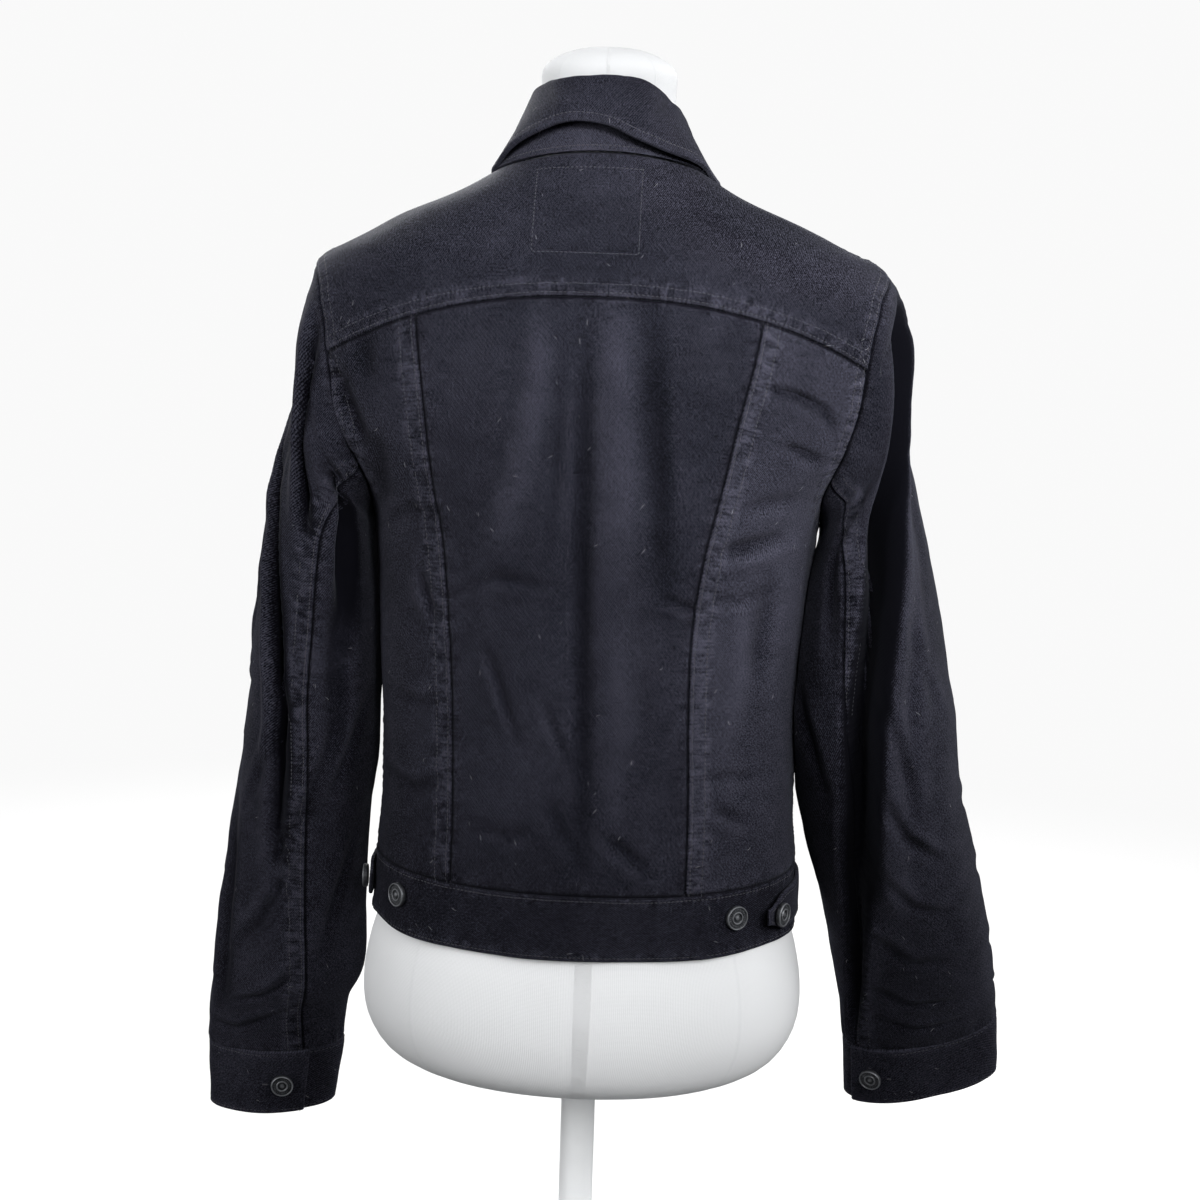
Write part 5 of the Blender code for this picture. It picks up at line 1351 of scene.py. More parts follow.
def sleeveRelief(side, place, step, turn, own, seed):  # the relief without its seams, and the folds' painted light and shade
    last, degree, length = sleeves["last"], sleeves["degreeLength"], sleeves["placeLength"]
    turn = np.where(turn > 180, turn - 360, turn)
    flat = np.stack([turn * degree, place * length], axis=-1)
    folds = [([(angle * degree, at * length) for at, angle in line], width * degree, depth * 1e-3, ridge)
             for line, width, depth, ridge in sleeveFolds[side]]
    strength = foldStrength["sleeve"]
    calm = smooth(place / 0.8)
    creases = strength * foldRelief(flat, folds) * calm * smooth((last + 0.25 - place) / 0.5)
    calm = calm * (0.25 + 0.75 * smooth((last - place) / 0.4))
    farWall = strength * foldRelief(flat - (signs[side] * sleeves["farWall"], 0), folds) * calm
    onCap = np.sin(pi * np.clip((place - sleeves["capFrom"]) / sleeves["capPlaces"], 0, 1))
    capFall = sleeves["capFall"][side] * bump(turn - sleeves["capAngle"], sleeves["capHalfAngle"]) * onCap
    relief = creases - capFall + calm * uneven(own, seed, *sleeves["uneven"])
    gather = smooth((place - (last - sleeves["gatherPlaces"])) / sleeves["gatherPlaces"])
    gather = gather * smooth((last - place) / 0.12)
    pleats = np.sin(step * 2 * pi / sleeves["allSteps"] * sleeves["gathers"] + 1.4 * np.sin(step))
    relief += sleeves["gather"] * gather * pleats * cloud(own, 0.02, seed + 3)
    # painted highlight on the folds' ridges, and painted shade in their troughs and on the shadowed wall
    # beyond
    wearAndShading = np.clip(sleeves["foldLight"] * creases, 0, sleeves["mostFoldLight"])
    wearAndShading -= sleeves["foldDark"] * smooth(-np.minimum(creases, farWall) / sleeves["darkDepth"])
    return relief, wearAndShading


def buildSleeves():
    for number, (side, sign) in enumerate(signs.items()):
        seed, last, flip = 40 + 10 * number, sleeves["last"], (sign, 1, 1)
        down = np.linspace(0, last, 200)
        seamLines["sleeveBack_" + side] = sleeveLine(side, down, sleeves["backStep"])
        seamLines["sleeveFront_" + side] = sleeveLine(side, down, sleeves["frontStep"])
        seamLines["cuffSeam_" + side] = sleeveLine(side, last, np.linspace(0, 23.999, 160))
        for part, (first, final) in sleeves["panels"].items():
            place, step, shape = sleeveGrid(side, first, final)
            base, turn = sleevePoints(side, place, np.mod(step, sleeves["allSteps"]))
            normal, offPanel = sleeveNormals(side, place, step, base, shape)
            own = base * flip
            relief, foldShading = sleeveRelief(side, place, step, turn, own, seed)
            longSeams = ["sleeveBack_" + side, "sleeveFront_" + side]
            seams = [over(name, 1.35, seed + 4) if part == "top_sleeve" else tucked(name, 1.1, seed + 4)
                     for name in longSeams]
            seams += [tucked("armhole_" + side, 0.9, 5), tucked("cuffSeam_" + side, 1.2, seed + 5)]
            edge, wearAndShading, beside = seamRelief(own, seams)
            nearHole = 1 - smooth(place * sleeves["placeLength"] / sleeves["closerLength"])
            closer = offPanel * (sleeves["closer"] * nearHole)[:, None]
            outer = base + normal * (relief + np.maximum(edge, -sleeves["mostTuck"]))[:, None] - closer
            inner = base + normal * (relief - jacket["cloth"])[:, None] - closer
            clear, limit = (place > sleeves["clearFrom"])[:, None], sleeves["innerClearance"] * smooth(place)
            outer = np.where(clear, clearOfBody(outer, limit + sleeves["outerClearance"]), outer)
            inner = np.where(clear, clearOfBody(inner, limit), inner)
            outer, inner = (drawnIn((face * flip).reshape(shape), jacket["trim"]) for face in (outer, inner))
            flat = lengthMap(base.reshape(shape), -sign)
            keepCloth(f"{part}_{side}", outer, inner, flat, wearAndShading + foldShading, beside=beside)


cuffs = {
    # outer point, its height, inner point, its height, middle front to back and depth of the lower edge
    "left": np.array([0.2895, -0.184, 0.1915, -0.177, -0.052, 0.050]),
    "right": np.array([0.3200, -0.139, 0.2035, -0.163, -0.081, 0.047]),
    "pastSeam": 6, "overlap": 34, "rise": 46, "topShare": -0.035, "step": 0.0019, "downStep": 0.0018,
    "innerEvery": 3, "uneven": ((0.0009, 0.040), (0.0004, 0.016)),
    "edge": {"groove": 0.00022, "grooveWidth": 0.0007, "ripple": 0.00022, "rippleFrom": 0.003,
             "rippleFade": 0.008, "rubbed": (0.4, 0.4), "rubbedFrom": 0.002, "wornWidth": 0.0018},
    "buttonSetback": 22, "holeHalfLength": 0.0105, "holeHalfWidth": 0.0016, "holeTail": 0.006,
}


def cuffPoints(side, share, angle):  # as on the wearer's left
    last = float(sleeves["last"])
    top, low = blendRows(sleeves[side], np.array(last)), cuffs[side]
    rows = np.zeros((len(share), 8))
    rows[:, 0], rows[:, 7] = last, top[7]
    rows[:, 1:7] = top[1:7] + (low - top[1:7]) * share[:, None]
    middle, span = sectionFrame(rows)
    back = depthDirection(side, np.full(len(share), last)) * rows[:, 6:7] / 2
    c, s = np.cos(np.radians(angle))[:, None], np.sin(np.radians(angle))[:, None]
    outward = span * c / (span**2).sum(1)[:, None] + back * s / (back**2).sum(1)[:, None]
    return middle + span * c + back * s, unit(outward)


def cuffRange(side):
    edge = sleeves[side][-1, 7] + cuffs["pastSeam"]
    return edge - cuffs["overlap"], edge + 360


def cuffLift(side, angle):
    layer = jacket["doubleCloth"] + jacket["layerGap"]
    return layer * smooth(1 - (cuffRange(side)[1] - cuffs["overlap"] - angle) / cuffs["rise"])


def buildCuffs():
    for number, (side, sign) in enumerate(signs.items()):
        start, end = cuffRange(side)
        around = lambda t: cuffPoints(side, np.full(len(t), 0.5), start + (end - start) * t)[0]
        down = lambda t: cuffPoints(side, t, np.full(len(t), 60.0))[0]
        angles = start + (end - start) * sharesAlong([around], cuffs["step"])
        shares = cuffs["topShare"] + (1 - cuffs["topShare"]) * sharesAlong([down], cuffs["downStep"])
        share, angle = (grid.ravel() for grid in np.meshgrid(shares, angles, indexing="ij"))
        shape = (len(shares), len(angles), 3)
        base, outward = cuffPoints(side, share, angle)
        own, lift = base * (sign, 1, 1), cuffLift(side, angle)
        grid = own.reshape(shape)
        top, low, underEnd, overEnd = grid[0], grid[-1], grid[:, 0], grid[:, -1]
        for name, line in (("cuffTop_", top), ("cuffLow_", low), ("cuffOver_", overEnd)):
            seamLines[name + side] = line
        far = angle > (start + end) / 2
        lines = ((top, True), (low, True), (underEnd, ~far), (overEnd, far))
        stitched, wearAndShading = stitchedEdges(own, lines, rowsOf("cuffTop")[0], cuffs["edge"], 60 + 7 * number)
        relief = rolledEdge(own, [top, low]) + stitched
        for line, mine in lines[2:]:
            relief += np.where(mine, rolledEdge(own, [line]), 0)
        relief += uneven(own, 70 + 5 * number, *cuffs["uneven"])
        outer = base + outward * (lift + relief)[:, None]
        inner = base + outward * (lift - jacket["doubleCloth"] + 0.5 * np.minimum(relief, 0))[:, None]
        outer, inner = ((face * (sign, 1, 1)).reshape(shape) for face in (outer, inner))
        flat = lengthMap(outer, sign)[..., ::-1] * (1, -1)
        keepCloth("cuff_" + side, outer, inner, flat, wearAndShading, every=cuffs["innerEvery"])


collar = {
    # angle, fold's rise and lean, roll, then the fall's edge: angle, level, gap, rise; and the fall's bulge
    "places": np.array([
        (-173, 0.010, 0.000, 0.0040, -160, 0.477, 0.0045, 0.000, 0.0030),
        (-158, 0.018, 0.006, 0.0045, -146, 0.506, 0.0045, 0.000, 0.0040),
        (-135, 0.031, 0.016, 0.0042, -126, 0.527, 0.0042, 0.000, 0.0040),
        (-110, 0.039, 0.021, 0.0038, -106, 0.5365, 0.0035, 0.000, 0.0010),
        (-80, 0.040, 0.0215, 0.0038, -76, 0.5415, 0.0030, 0.000, -0.0015),
        (-50, 0.043, 0.020, 0.0042, -36, 0.538, 0.0070, 0.0033, 0.0005),
        (-22, 0.048, 0.011, 0.0055, -15, 0.536, 0.0070, 0.0110, 0.0020),
        (0, 0.048, 0.007, 0.0060, 0, 0.536, 0.0065, 0.0205, 0.0025),
        (22, 0.049, 0.011, 0.0055, 15, 0.536, 0.0065, 0.0225, 0.0020),
        (50, 0.052, 0.022, 0.0042, 35, 0.538, 0.0050, 0.0155, 0.0005),
        (80, 0.052, 0.026, 0.0038, 76, 0.5415, 0.0030, 0.001, -0.0015),
        (110, 0.044, 0.023, 0.0038, 106, 0.5365, 0.0035, 0.000, 0.0010),
        (135, 0.032, 0.016, 0.0042, 126, 0.527, 0.0042, 0.000, 0.0040),
        (158, 0.018, 0.006, 0.0045, 146, 0.506, 0.0045, 0.000, 0.0040),
        (173, 0.010, 0.000, 0.0040, 160, 0.477, 0.0045, 0.000, 0.0030),
    ]),
    "footGap": 0.0001, "footOverFront": 0.0018, "step": 0.0022, "upStep": 0.0016, "innerEvery": 2,
    # the collar's inner face is painted lighter, against the shadow that the fall casts on the stand below it
    "backWear": 0.8, "uneven": ((0.0008, 0.035), (0.0003, 0.014)),
    "edge": {"groove": 0.00022, "grooveWidth": 0.0008, "ripple": 0.00025, "rippleFrom": 0.005,
             "rippleFade": 0.007, "rubbed": (0.35, 0.45), "rubbedFrom": 0.004, "wornWidth": 0.0020},
}


def collarProfiles(angle):  # seven points of the face: up the stand, over the fold and down the fall
    rows = blendRows(collar["places"], angle)
    edgeAngle, edgeLevel = rows[:, 4], rows[:, 5]
    rise, lean, roll, edgeGap, edgeRise, bulge = rows[:, (1, 2, 3, 6, 7, 8)].T[..., None]
    level = np.full_like(angle, jacket["neckLevel"])
    footDrop, edgeDrop = shoulderFall(angle, level)[:, None], shoulderFall(edgeAngle, edgeLevel)[:, None]
    foot = bodyBase(angle, level) - bodyNormal(angle, level) * (jacket["cloth"] / 2 + footDrop)
    outward, up = unit(foot * (1, 0.9, 0)), np.array([0, 0, 1.0])
    ramp = (np.abs(angle) - jacket["overlapStart"]) / (jacket["overlapFull"] - jacket["overlapStart"])
    foot = foot + up * (collar["footGap"] + collar["footOverFront"] * smooth(ramp))[:, None]
    fold = foot + up * rise - outward * lean
    edge = bodyBase(edgeAngle, edgeLevel) + bodyNormal(edgeAngle, edgeLevel) * (edgeGap - edgeDrop)
    edge = edge + up * edgeRise
    crown = fold + outward * roll
    shoulderPoint = crown + outward * roll * 0.7 - up * roll
    fallMiddle = (shoulderPoint + edge) / 2 + unit(outward + up * 0.6) * bulge
    stand = [foot, (foot + fold) / 2, fold - up * roll]
    return np.stack(stand + [crown + up * 0.001, shoulderPoint, fallMiddle, edge])


def throughPoints(points, shares):  # a smooth curve through a stack of points, at shares of its length
    lengths = lengthAlong(points)
    rows = np.concatenate([lengths[:, None], points], axis=1)
    return blendRows(rows, shares * lengths[-1])[:, 1:]


# In millimetres, by distance round the collar towards the wearer's left and up from the fall's edge
collarFolds = millimetres([
    ([(-35, 12), (-52, 30), (-62, 50)], 9, 1.6, 0.5), ([(-85, 10), (-98, 34)], 8, 1.2, 0.5),
    ([(30, 6), (46, 30)], 9, 1, 0.4), ([(0, 16), (10, 42)], 12, 0.8, 0.3),
    ([(80, 8), (94, 30)], 8, 1, 0.5),
])


def buildCollar():
    first, last = collar["places"][0, 0], collar["places"][-1, 0]
    crownLine = lambda t: collarProfiles(first + (last - first) * t)[4]
    angles = first + (last - first) * sharesAlong([crownLine], collar["step"])
    profiles, typical = collarProfiles(angles), collarProfiles(np.zeros(1))[:, 0]
    upShares = sharesAlong([lambda t: throughPoints(typical, t)], collar["upStep"])
    grid = np.stack([throughPoints(profiles[:, k], upShares) for k in range(len(angles))], axis=1)
    normal = unit(np.cross(np.gradient(grid, axis=1), np.gradient(grid, axis=0)))
    points, normals, shape = grid.reshape(-1, 3), normal.reshape(-1, 3), grid.shape
    borders = [grid[-1], grid[:, 0], grid[:, -1]]
    seamLines["collarEdge"], seamLines["collarEnd_right"], seamLines["collarEnd_left"] = borders
    seamLines["collarFoot"] = grid[0]
    flat = lengthMap(grid, -1)
    lines = [(line, True) for line in borders]
    stitched, wearAndShading = stitchedEdges(points, lines, rowsOf("collarEdge")[0], collar["edge"], 90)
    relief = rolledEdge(points, borders) + foldRelief(flat.reshape(-1, 2) * (-1, 1), collarFolds) + stitched
    relief += uneven(points, 95, *collar["uneven"])
    relief = relief * smooth(nearestOn(points, grid[0])[0] / 0.006)
    outer = (points + normals * relief[:, None]).reshape(shape)
    inner = (points + normals * (0.6 * np.minimum(relief, 0) - jacket["doubleCloth"])[:, None]).reshape(shape)
    keepCloth("collar", outer, inner, flat, wearAndShading, every=collar["innerEvery"], backWear=collar["backWear"])
    sewFaces["collarBack"] = faceTree(inner)
    seamLines["collarBackFoot"] = inner[0]


buildTabs()
buildSleeves()
buildCuffs()
buildCollar()
print("sleeves, cuffs and collar done")


# Sewing: runs of stitches laid on the cloth, each with its points and the cloth's normals there
stitchRuns = {"back": [], "front": [], "sleeves": [], "trims": [], "holes": []}
stitch = {"pitch": stitchPitch, "length": 0.0023, "width": 0.00078, "height": 0.00048, "sunk": 0.00006}
holeStitch = {"pitch": 0.0007, "length": 0.0009, "width": 0.0017, "height": 0.0006, "sunk": 0.0001}
sewing = {
    "spacing": 0.0016, "probe": 0.004, "most": 0.004, "patchMost": 0.010, "holeMiddle": (0.176, 0.385),
    "collarMiddle": 0.60, "insideSteps": {"sleeveBack_": 4.6, "sleeveFront_": 19.4},
    "patch": [(-0.027, 0.532), (-0.027, 0.4763), (0.043, 0.4763), (0.043, 0.532), (-0.027, 0.532)],
}


def sew(group, pieces, points, most=sewing["most"]):  # a run breaks where the cloth is farther off than this
    runs = [([], [])]
    for point in points:
        hits = (sewFaces[piece].find_nearest(Vector(point)) for piece in pieces)
        place, normal, _, distance = min(hits, key=lambda hit: hit[3])
        if distance > most:
            runs.append(([], []))
        else:
            runs[-1][0].append(place)
            runs[-1][1].append(normal)
    stitchRuns[group] += [run for run in runs if len(run[0]) > 2]


def evenly(line):
    line = np.asarray(line)
    lengths = lengthAlong(line)
    at = np.linspace(0, lengths[-1], max(6, int(lengths[-1] / sewing["spacing"])))
    return np.stack([np.interp(at, lengths, line[:, k]) for k in range(3)], axis=1)


def sewSeam(group, pieces, name, towards):
    # rows of stitches beside a seam, on the cloth that lies towards a direction (or a place) from it
    line = evenly(seamLines[name])
    along = unit(np.gradient(line, axis=0))
    for row in rowsOf(name):
        points = []
        for point, way in zip(line, along):
            goal = np.asarray(towards(point) if callable(towards) else towards, float)
            probe = Vector(point + unit(goal - way * np.dot(goal, way)) * max(row, sewing["probe"]))
            found = min((sewFaces[piece].find_nearest(probe) for piece in pieces), key=lambda hit: hit[3])
            side = unit(np.cross(way, np.array(found[1])))
            points.append(point + side * (row if np.dot(side, goal) > 0 else -row))
        sew(group, pieces, points)


def sewBody():
    up, down, backward = (0, 0, 1), (0, 0, -1), (0, 1, 0)
    sewSeam("back", ["back_yoke"], "yoke", up)
    for side, sign in signs.items():
        back, placket = "back_side_" + side, "front_placket_" + side
        sewSeam("back", [back], "princess_" + side, (sign, 0, 0))
        sewSeam("back", [back], "side_" + side, backward)
        middle = np.array([sign * sewing["holeMiddle"][0], 0.0, hem + sewing["holeMiddle"][1]])
        sewSeam("back", [back, "back_yoke", "front_" + side], "armhole_" + side, lambda point: point - middle)
        sewSeam("back", ["back_yoke"], "shoulder_" + side, (0, 1, 0.3))
        sewSeam("front", [placket], "placket_" + side, (-sign, 0, 0))
        sewSeam("front", [placket], "placketEdge_" + side, (sign, 0, 0))
    sewSeam("trims", ["waistband"], "bandTop", down)
    sewSeam("trims", ["waistband"], "bandBottom", up)
    sew("back", ["back_yoke"], yokePatch(), sewing["patchMost"])


def yokePatch():  # a plain stitched rectangle on the yoke
    points = []
    for (x0, z0), (x1, z1) in zip(sewing["patch"], sewing["patch"][1:]):
        count = int(np.hypot(x1 - x0, z1 - z0) / sewing["spacing"])
        for t in np.arange(count) / count:
            x, level = x0 + (x1 - x0) * t, z0 + (z1 - z0) * t
            angle = angleAt(np.array(abs(x)), np.array(level)) * np.sign(x)
            points.append(bodyBase(np.array(float(angle)), np.array(float(level))))
    return points


def cuffMiddle(side):
    return (seamLines["cuffTop_" + side].mean(0) + seamLines["cuffLow_" + side].mean(0)) / 2


def sewSleeves():
    for side, sign in signs.items():
        for seam, inside in sewing["insideSteps"].items():  # the step just past each seam
            line = seamLines[seam + side]
            onTop = sleeveLine(side, np.linspace(0, sleeves["last"], 200), inside)

            def toTop(point):
                nearest = np.argmin(((line - point) ** 2).sum(1))
                return onTop[nearest] - line[nearest]

            sewSeam("sleeves", ["top_sleeve_" + side], seam + side, toTop)
        middle = cuffMiddle(side)
        for name in ("cuffTop_", "cuffLow_", "cuffOver_"):
            sewSeam("trims", ["cuff_" + side], name + side, lambda point: middle - point)
        sewButtonhole(side, sign)


def sewButtonhole(side, sign):  # an oval and a tail across the cuff's button
    at = cuffRange(side)[1] - 360 - cuffs["buttonSetback"]

    def point(share, angle):
        return cuffPoints(side, np.array([share]), np.array([float(angle)]))[0][0] * (sign, 1, 1)

    middle, along = point(0.5, at + 2), unit(point(0.5, at + 6) - point(0.5, at - 2))
    across = unit(point(0.7, at) - point(0.3, at))
    length, width = along * cuffs["holeHalfLength"], across * cuffs["holeHalfWidth"]
    oval = [middle + width * sin(t) + length * cos(t) for t in np.linspace(0, 2 * pi, 30)]
    tail = [middle - length - along * cuffs["holeTail"] * t for t in np.linspace(0, 1, 10)]
    for points in (oval, tail):
        sew("holes", ["cuff_" + side], points)


def sewCollar():
    middle = np.array([0.0, 0.0, hem + sewing["collarMiddle"]])
    for name in ("collarEdge", "collarEnd_right", "collarEnd_left"):
        sewSeam("trims", ["collar"], name, lambda point: middle - point)
    for name, face in (("collarFoot", "collar"), ("collarBackFoot", "collarBack")):
        sewSeam("trims", [face], name, (0, 0, 1))


def sewTabs():  # one run just inside a tab's edge, from its fixed end
    inset, start, end = rowsOf("tab")[0], tabs["sewnFrom"], tabs["sewnEnd"]
    narrowed = lambda t: 1 - tabs["sewnPoint"] * smooth((t - start) / (1 - start))
    for side in signs:
        along, across = inset / tabs["length"][side], 1 - inset / tabs["halfHeight"]
        path = [(along, t) for t in np.linspace(-across, across, 12)]
        path += [(t, across * narrowed(t)) for t in np.linspace(along, 1 - along, 40)]
        path += [(1 - along, t) for t in np.linspace(across * end, -across * end, 8)]
        path += [(t, -across * narrowed(t)) for t in np.linspace(1 - along, along, 40)]
        base, normal, out = tabPoint(side, *np.array(path).T)
        sew("trims", ["waist_tab_" + side], base + normal * out[:, None])


sewBody()
sewSleeves()
sewCollar()
sewTabs()


# Geometry nodes, wired by name
class Nodes:
    def __init__(self, name, inputs):
        self.tree = bpy.data.node_groups.new(name, "GeometryNodeTree")
        self.tree.interface.new_socket("Geometry", in_out="INPUT", socket_type="NodeSocketGeometry")
        self.ids = {}
        for label, (kind, value) in inputs.items():
            item = self.tree.interface.new_socket(label, in_out="INPUT", socket_type="NodeSocket" + kind)
            if value is not None:
                item.default_value = value
            self.ids[label] = item.identifier
        self.tree.interface.new_socket("Geometry", in_out="OUTPUT", socket_type="NodeSocketGeometry")
        self.start, self.end = self.tree.nodes.new("NodeGroupInput"), self.tree.nodes.new("NodeGroupOutput")

    def node(self, kind, settings=None, **sockets):
        named = {key.replace("_", " "): value for key, value in sockets.items()}
        return self.wired(kind, settings or {}, named)

    def wired(self, kind, settings, sockets):
        made = self.tree.nodes.new(kind)
        for key, value in settings.items():
            setattr(made, key, value)
        for key, value in sockets.items():
            if isinstance(value, bpy.types.NodeSocket):
                self.tree.links.new(value, made.inputs[key])
            else:
                made.inputs[key].default_value = value
        return made.outputs

    def given(self, label):
        return self.start.outputs[label]

    def finish(self, geometry):
        self.tree.links.new(geometry, self.end.inputs[0])
        return self.tree


def stitchTree():
    g = Nodes("stitches", {
        "Pitch": ("Float", 0.0031), "Length": ("Float", 0.0025), "Width": ("Float", 0.0006),
        "Height": ("Float", 0.0004), "Seed": ("Int", 3), "Thread": ("Material", None)})
    curve = g.node("GeometryNodeMeshToCurve", Mesh=g.given("Geometry"))[0]
    even = g.node("GeometryNodeResampleCurve", {"mode": "LENGTH"}, Curve=curve, Length=g.given("Pitch"))[0]
    bead = g.node("GeometryNodeMeshUVSphere", Segments=6, Rings=3, Radius=0.5)[0]
    tangent = g.node("GeometryNodeInputTangent")[0]
    up = g.node("GeometryNodeInputNamedAttribute", {"data_type": "FLOAT_VECTOR"}, Name="up")[0]
    turned = g.node("FunctionNodeAlignRotationToVector", {"axis": "Z"}, Vector=tangent)[0]
    turned = g.node("FunctionNodeAlignRotationToVector", {"axis": "X", "pivot_axis": "Z"}, Rotation=turned,
                    Vector=up)[0]
    lengths = {"Min": 0.88, "Max": 1.06, "Seed": g.given("Seed")}
    rand = g.node("FunctionNodeRandomValue", {"data_type": "FLOAT"}, **lengths)[1]
    length = g.wired("ShaderNodeMath", {"operation": "MULTIPLY"}, {0: g.given("Length"), 1: rand})[0]
    size = g.wired("ShaderNodeCombineXYZ", {}, {0: g.given("Height"), 1: g.given("Width"), 2: length})[0]
    placed = g.node("GeometryNodeInstanceOnPoints", Points=even, Instance=bead, Rotation=turned,
                    Scale=size)[0]
    whole = g.node("GeometryNodeRealizeInstances", Geometry=placed)[0]
    smoothed = g.node("GeometryNodeSetShadeSmooth", Geometry=whole)[0]
    dressed = g.node("GeometryNodeSetMaterial", Geometry=smoothed, Material=g.given("Thread"))[0]
    return g, g.finish(dressed)


def baked(obj, material):
    evaluated = obj.evaluated_get(bpy.context.evaluated_depsgraph_get())
    mesh = bpy.data.meshes.new_from_object(evaluated)
    obj.modifiers.clear()
    obj.data = mesh
    mesh.materials.clear()
    mesh.materials.append(material)
    return obj


stitchNodes, stitchGroup = stitchTree()
for number, (group, runs) in enumerate(stitchRuns.items()):
    size = holeStitch if group == "holes" else stitch
    points, normals, edges = [], [], []
    for places, ups in runs:
        first = len(points)
        points += [place + up * size["sunk"] for place, up in zip(places, ups)]
        normals += ups
        edges += [(k, k + 1) for k in range(first, len(points) - 1)]
    mesh = bpy.data.meshes.new("stitches_" + group)
    mesh.from_pydata(points, edges, [])
    storeValue(mesh, "up", [tuple(up) for up in normals], "FLOAT_VECTOR")
    obj = newObject("stitches_" + group, mesh, thread)
    modifier = obj.modifiers.new("stitches", "NODES")
    modifier.node_group = stitchGroup
    for label, value in (("Pitch", size["pitch"]), ("Length", size["length"]), ("Width", size["width"]),
                         ("Height", size["height"]), ("Seed", 3 + number), ("Thread", thread)):
        modifier[stitchNodes.ids[label]] = value
    baked(obj, thread)
    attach(obj, "root")
    print("stitches:", group, len(obj.data.polygons))
bpy.data.node_groups.remove(stitchGroup)


# Turned pieces
def turnedMesh(name, profile, sides):  # profile: (radius, height) from the bottom's centre to the top's
    angles = np.linspace(0, 2 * pi, sides, endpoint=False)
    points = [(0, 0, profile[0][1])]
    for radius, height in profile[1:-1]:
        points += [(radius * cos(a), radius * sin(a), height) for a in angles]
    points.append((0, 0, profile[-1][1]))
    rings, faces = len(profile) - 2, []
    for k in range(sides):
        after = (k + 1) % sides
        faces.append((0, 1 + after, 1 + k))
        for r in range(rings - 1):
            low, high = 1 + r * sides, 1 + (r + 1) * sides
            faces.append((low + k, low + after, high + after, high + k))
        top = 1 + (rings - 1) * sides
        faces.append((top + k, top + after, len(points) - 1))
    mesh = meshFrom(name, points, faces)
    mesh.shade_smooth()
    mesh.set_sharp_from_angle(angle=radians(35))
    return mesh


button = {
    "radius": 0.0085, "height": 0.0036, "sides": 40, "beads": 26, "beadRing": 0.00595, "beadSize": 0.00036,
    "beadHeight": 0.74, "beadShape": (2.4, 0.9, 1, 1),  # the height is a share of the button's
    # shares of the radius and the height: back, rim, dish, ring, dish and raised middle
    "profile": ((0, 0), (0.90, 0), (0.97, 0.10), (0.995, 0.30), (1, 0.52), (0.99, 0.80), (0.965, 0.94),
                (0.925, 1), (0.885, 0.98), (0.86, 0.88), (0.845, 0.72), (0.82, 0.70), (0.68, 0.75),
                (0.56, 0.75), (0.545, 0.72), (0.525, 0.88), (0.49, 0.95), (0.44, 0.95), (0.405, 0.88),
                (0.39, 0.66), (0.36, 0.63), (0.24, 0.65), (0.215, 0.68), (0.18, 0.82), (0.11, 0.89),
                (0, 0.90)),
    "names": ([f"{place}_button_{side}" for place in ("waist", "tab", "cuff") for side in signs]
              + [f"front_button_{k}" for k in range(1, 7)]),
}


def buttonMesh(name):
    r, h = button["radius"], button["height"]
    mesh = turnedMesh(name, [(r * out, h * up) for out, up in button["profile"]], button["sides"])
    edit = bmesh.new()
    edit.from_mesh(mesh)
    ring, level = button["beadRing"], h * button["beadHeight"]
    for turn in np.arange(button["beads"]) * 2 * pi / button["beads"]:
        at = Matrix.Translation((ring * cos(turn), ring * sin(turn), level)) @ Matrix.Rotation(turn, 4, "Z")
        at = at @ Matrix.Diagonal(button["beadShape"])
        bmesh.ops.create_icosphere(edit, subdivisions=1, radius=button["beadSize"], matrix=at)
    edit.to_mesh(mesh)
    edit.free()
    mesh.shade_smooth()
    heights = np.array([v.co.z for v in mesh.vertices]) / h
    storeValue(mesh, "wearAndShading", np.clip((heights - button["beadHeight"]) * 5, 0, 1))
    return mesh


def buildButtons():  # each on the solid of its name, along the solid's axis
    for name in button["names"]:
        node = bpy.data.objects[name]
        points = np.array([node.matrix_world @ v.co for v in node.data.vertices])
        corners = np.unique(points.round(6), axis=0)
        middle = corners.mean(0)
        axis = np.linalg.svd(corners - middle)[2][2]
        body = cuffMiddle(name.split("_")[-1]) if name.startswith("cuff") else np.array([0, 0, middle[2]])
        if np.dot(axis, middle - body) < 0:
            axis = -axis
        foot = middle + axis * ((points - middle) @ axis).min()
        mesh = buttonMesh(name + "_fine")
        turn = Vector(axis).to_track_quat("Z", "Y").to_matrix().to_4x4()
        mesh.transform(Matrix.Translation(Vector(foot)) @ turn)
        obj = newObject(name + "_fine", mesh, metal)
        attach(obj, "root")
        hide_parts(name)


buildButtons()
print("buttons done")

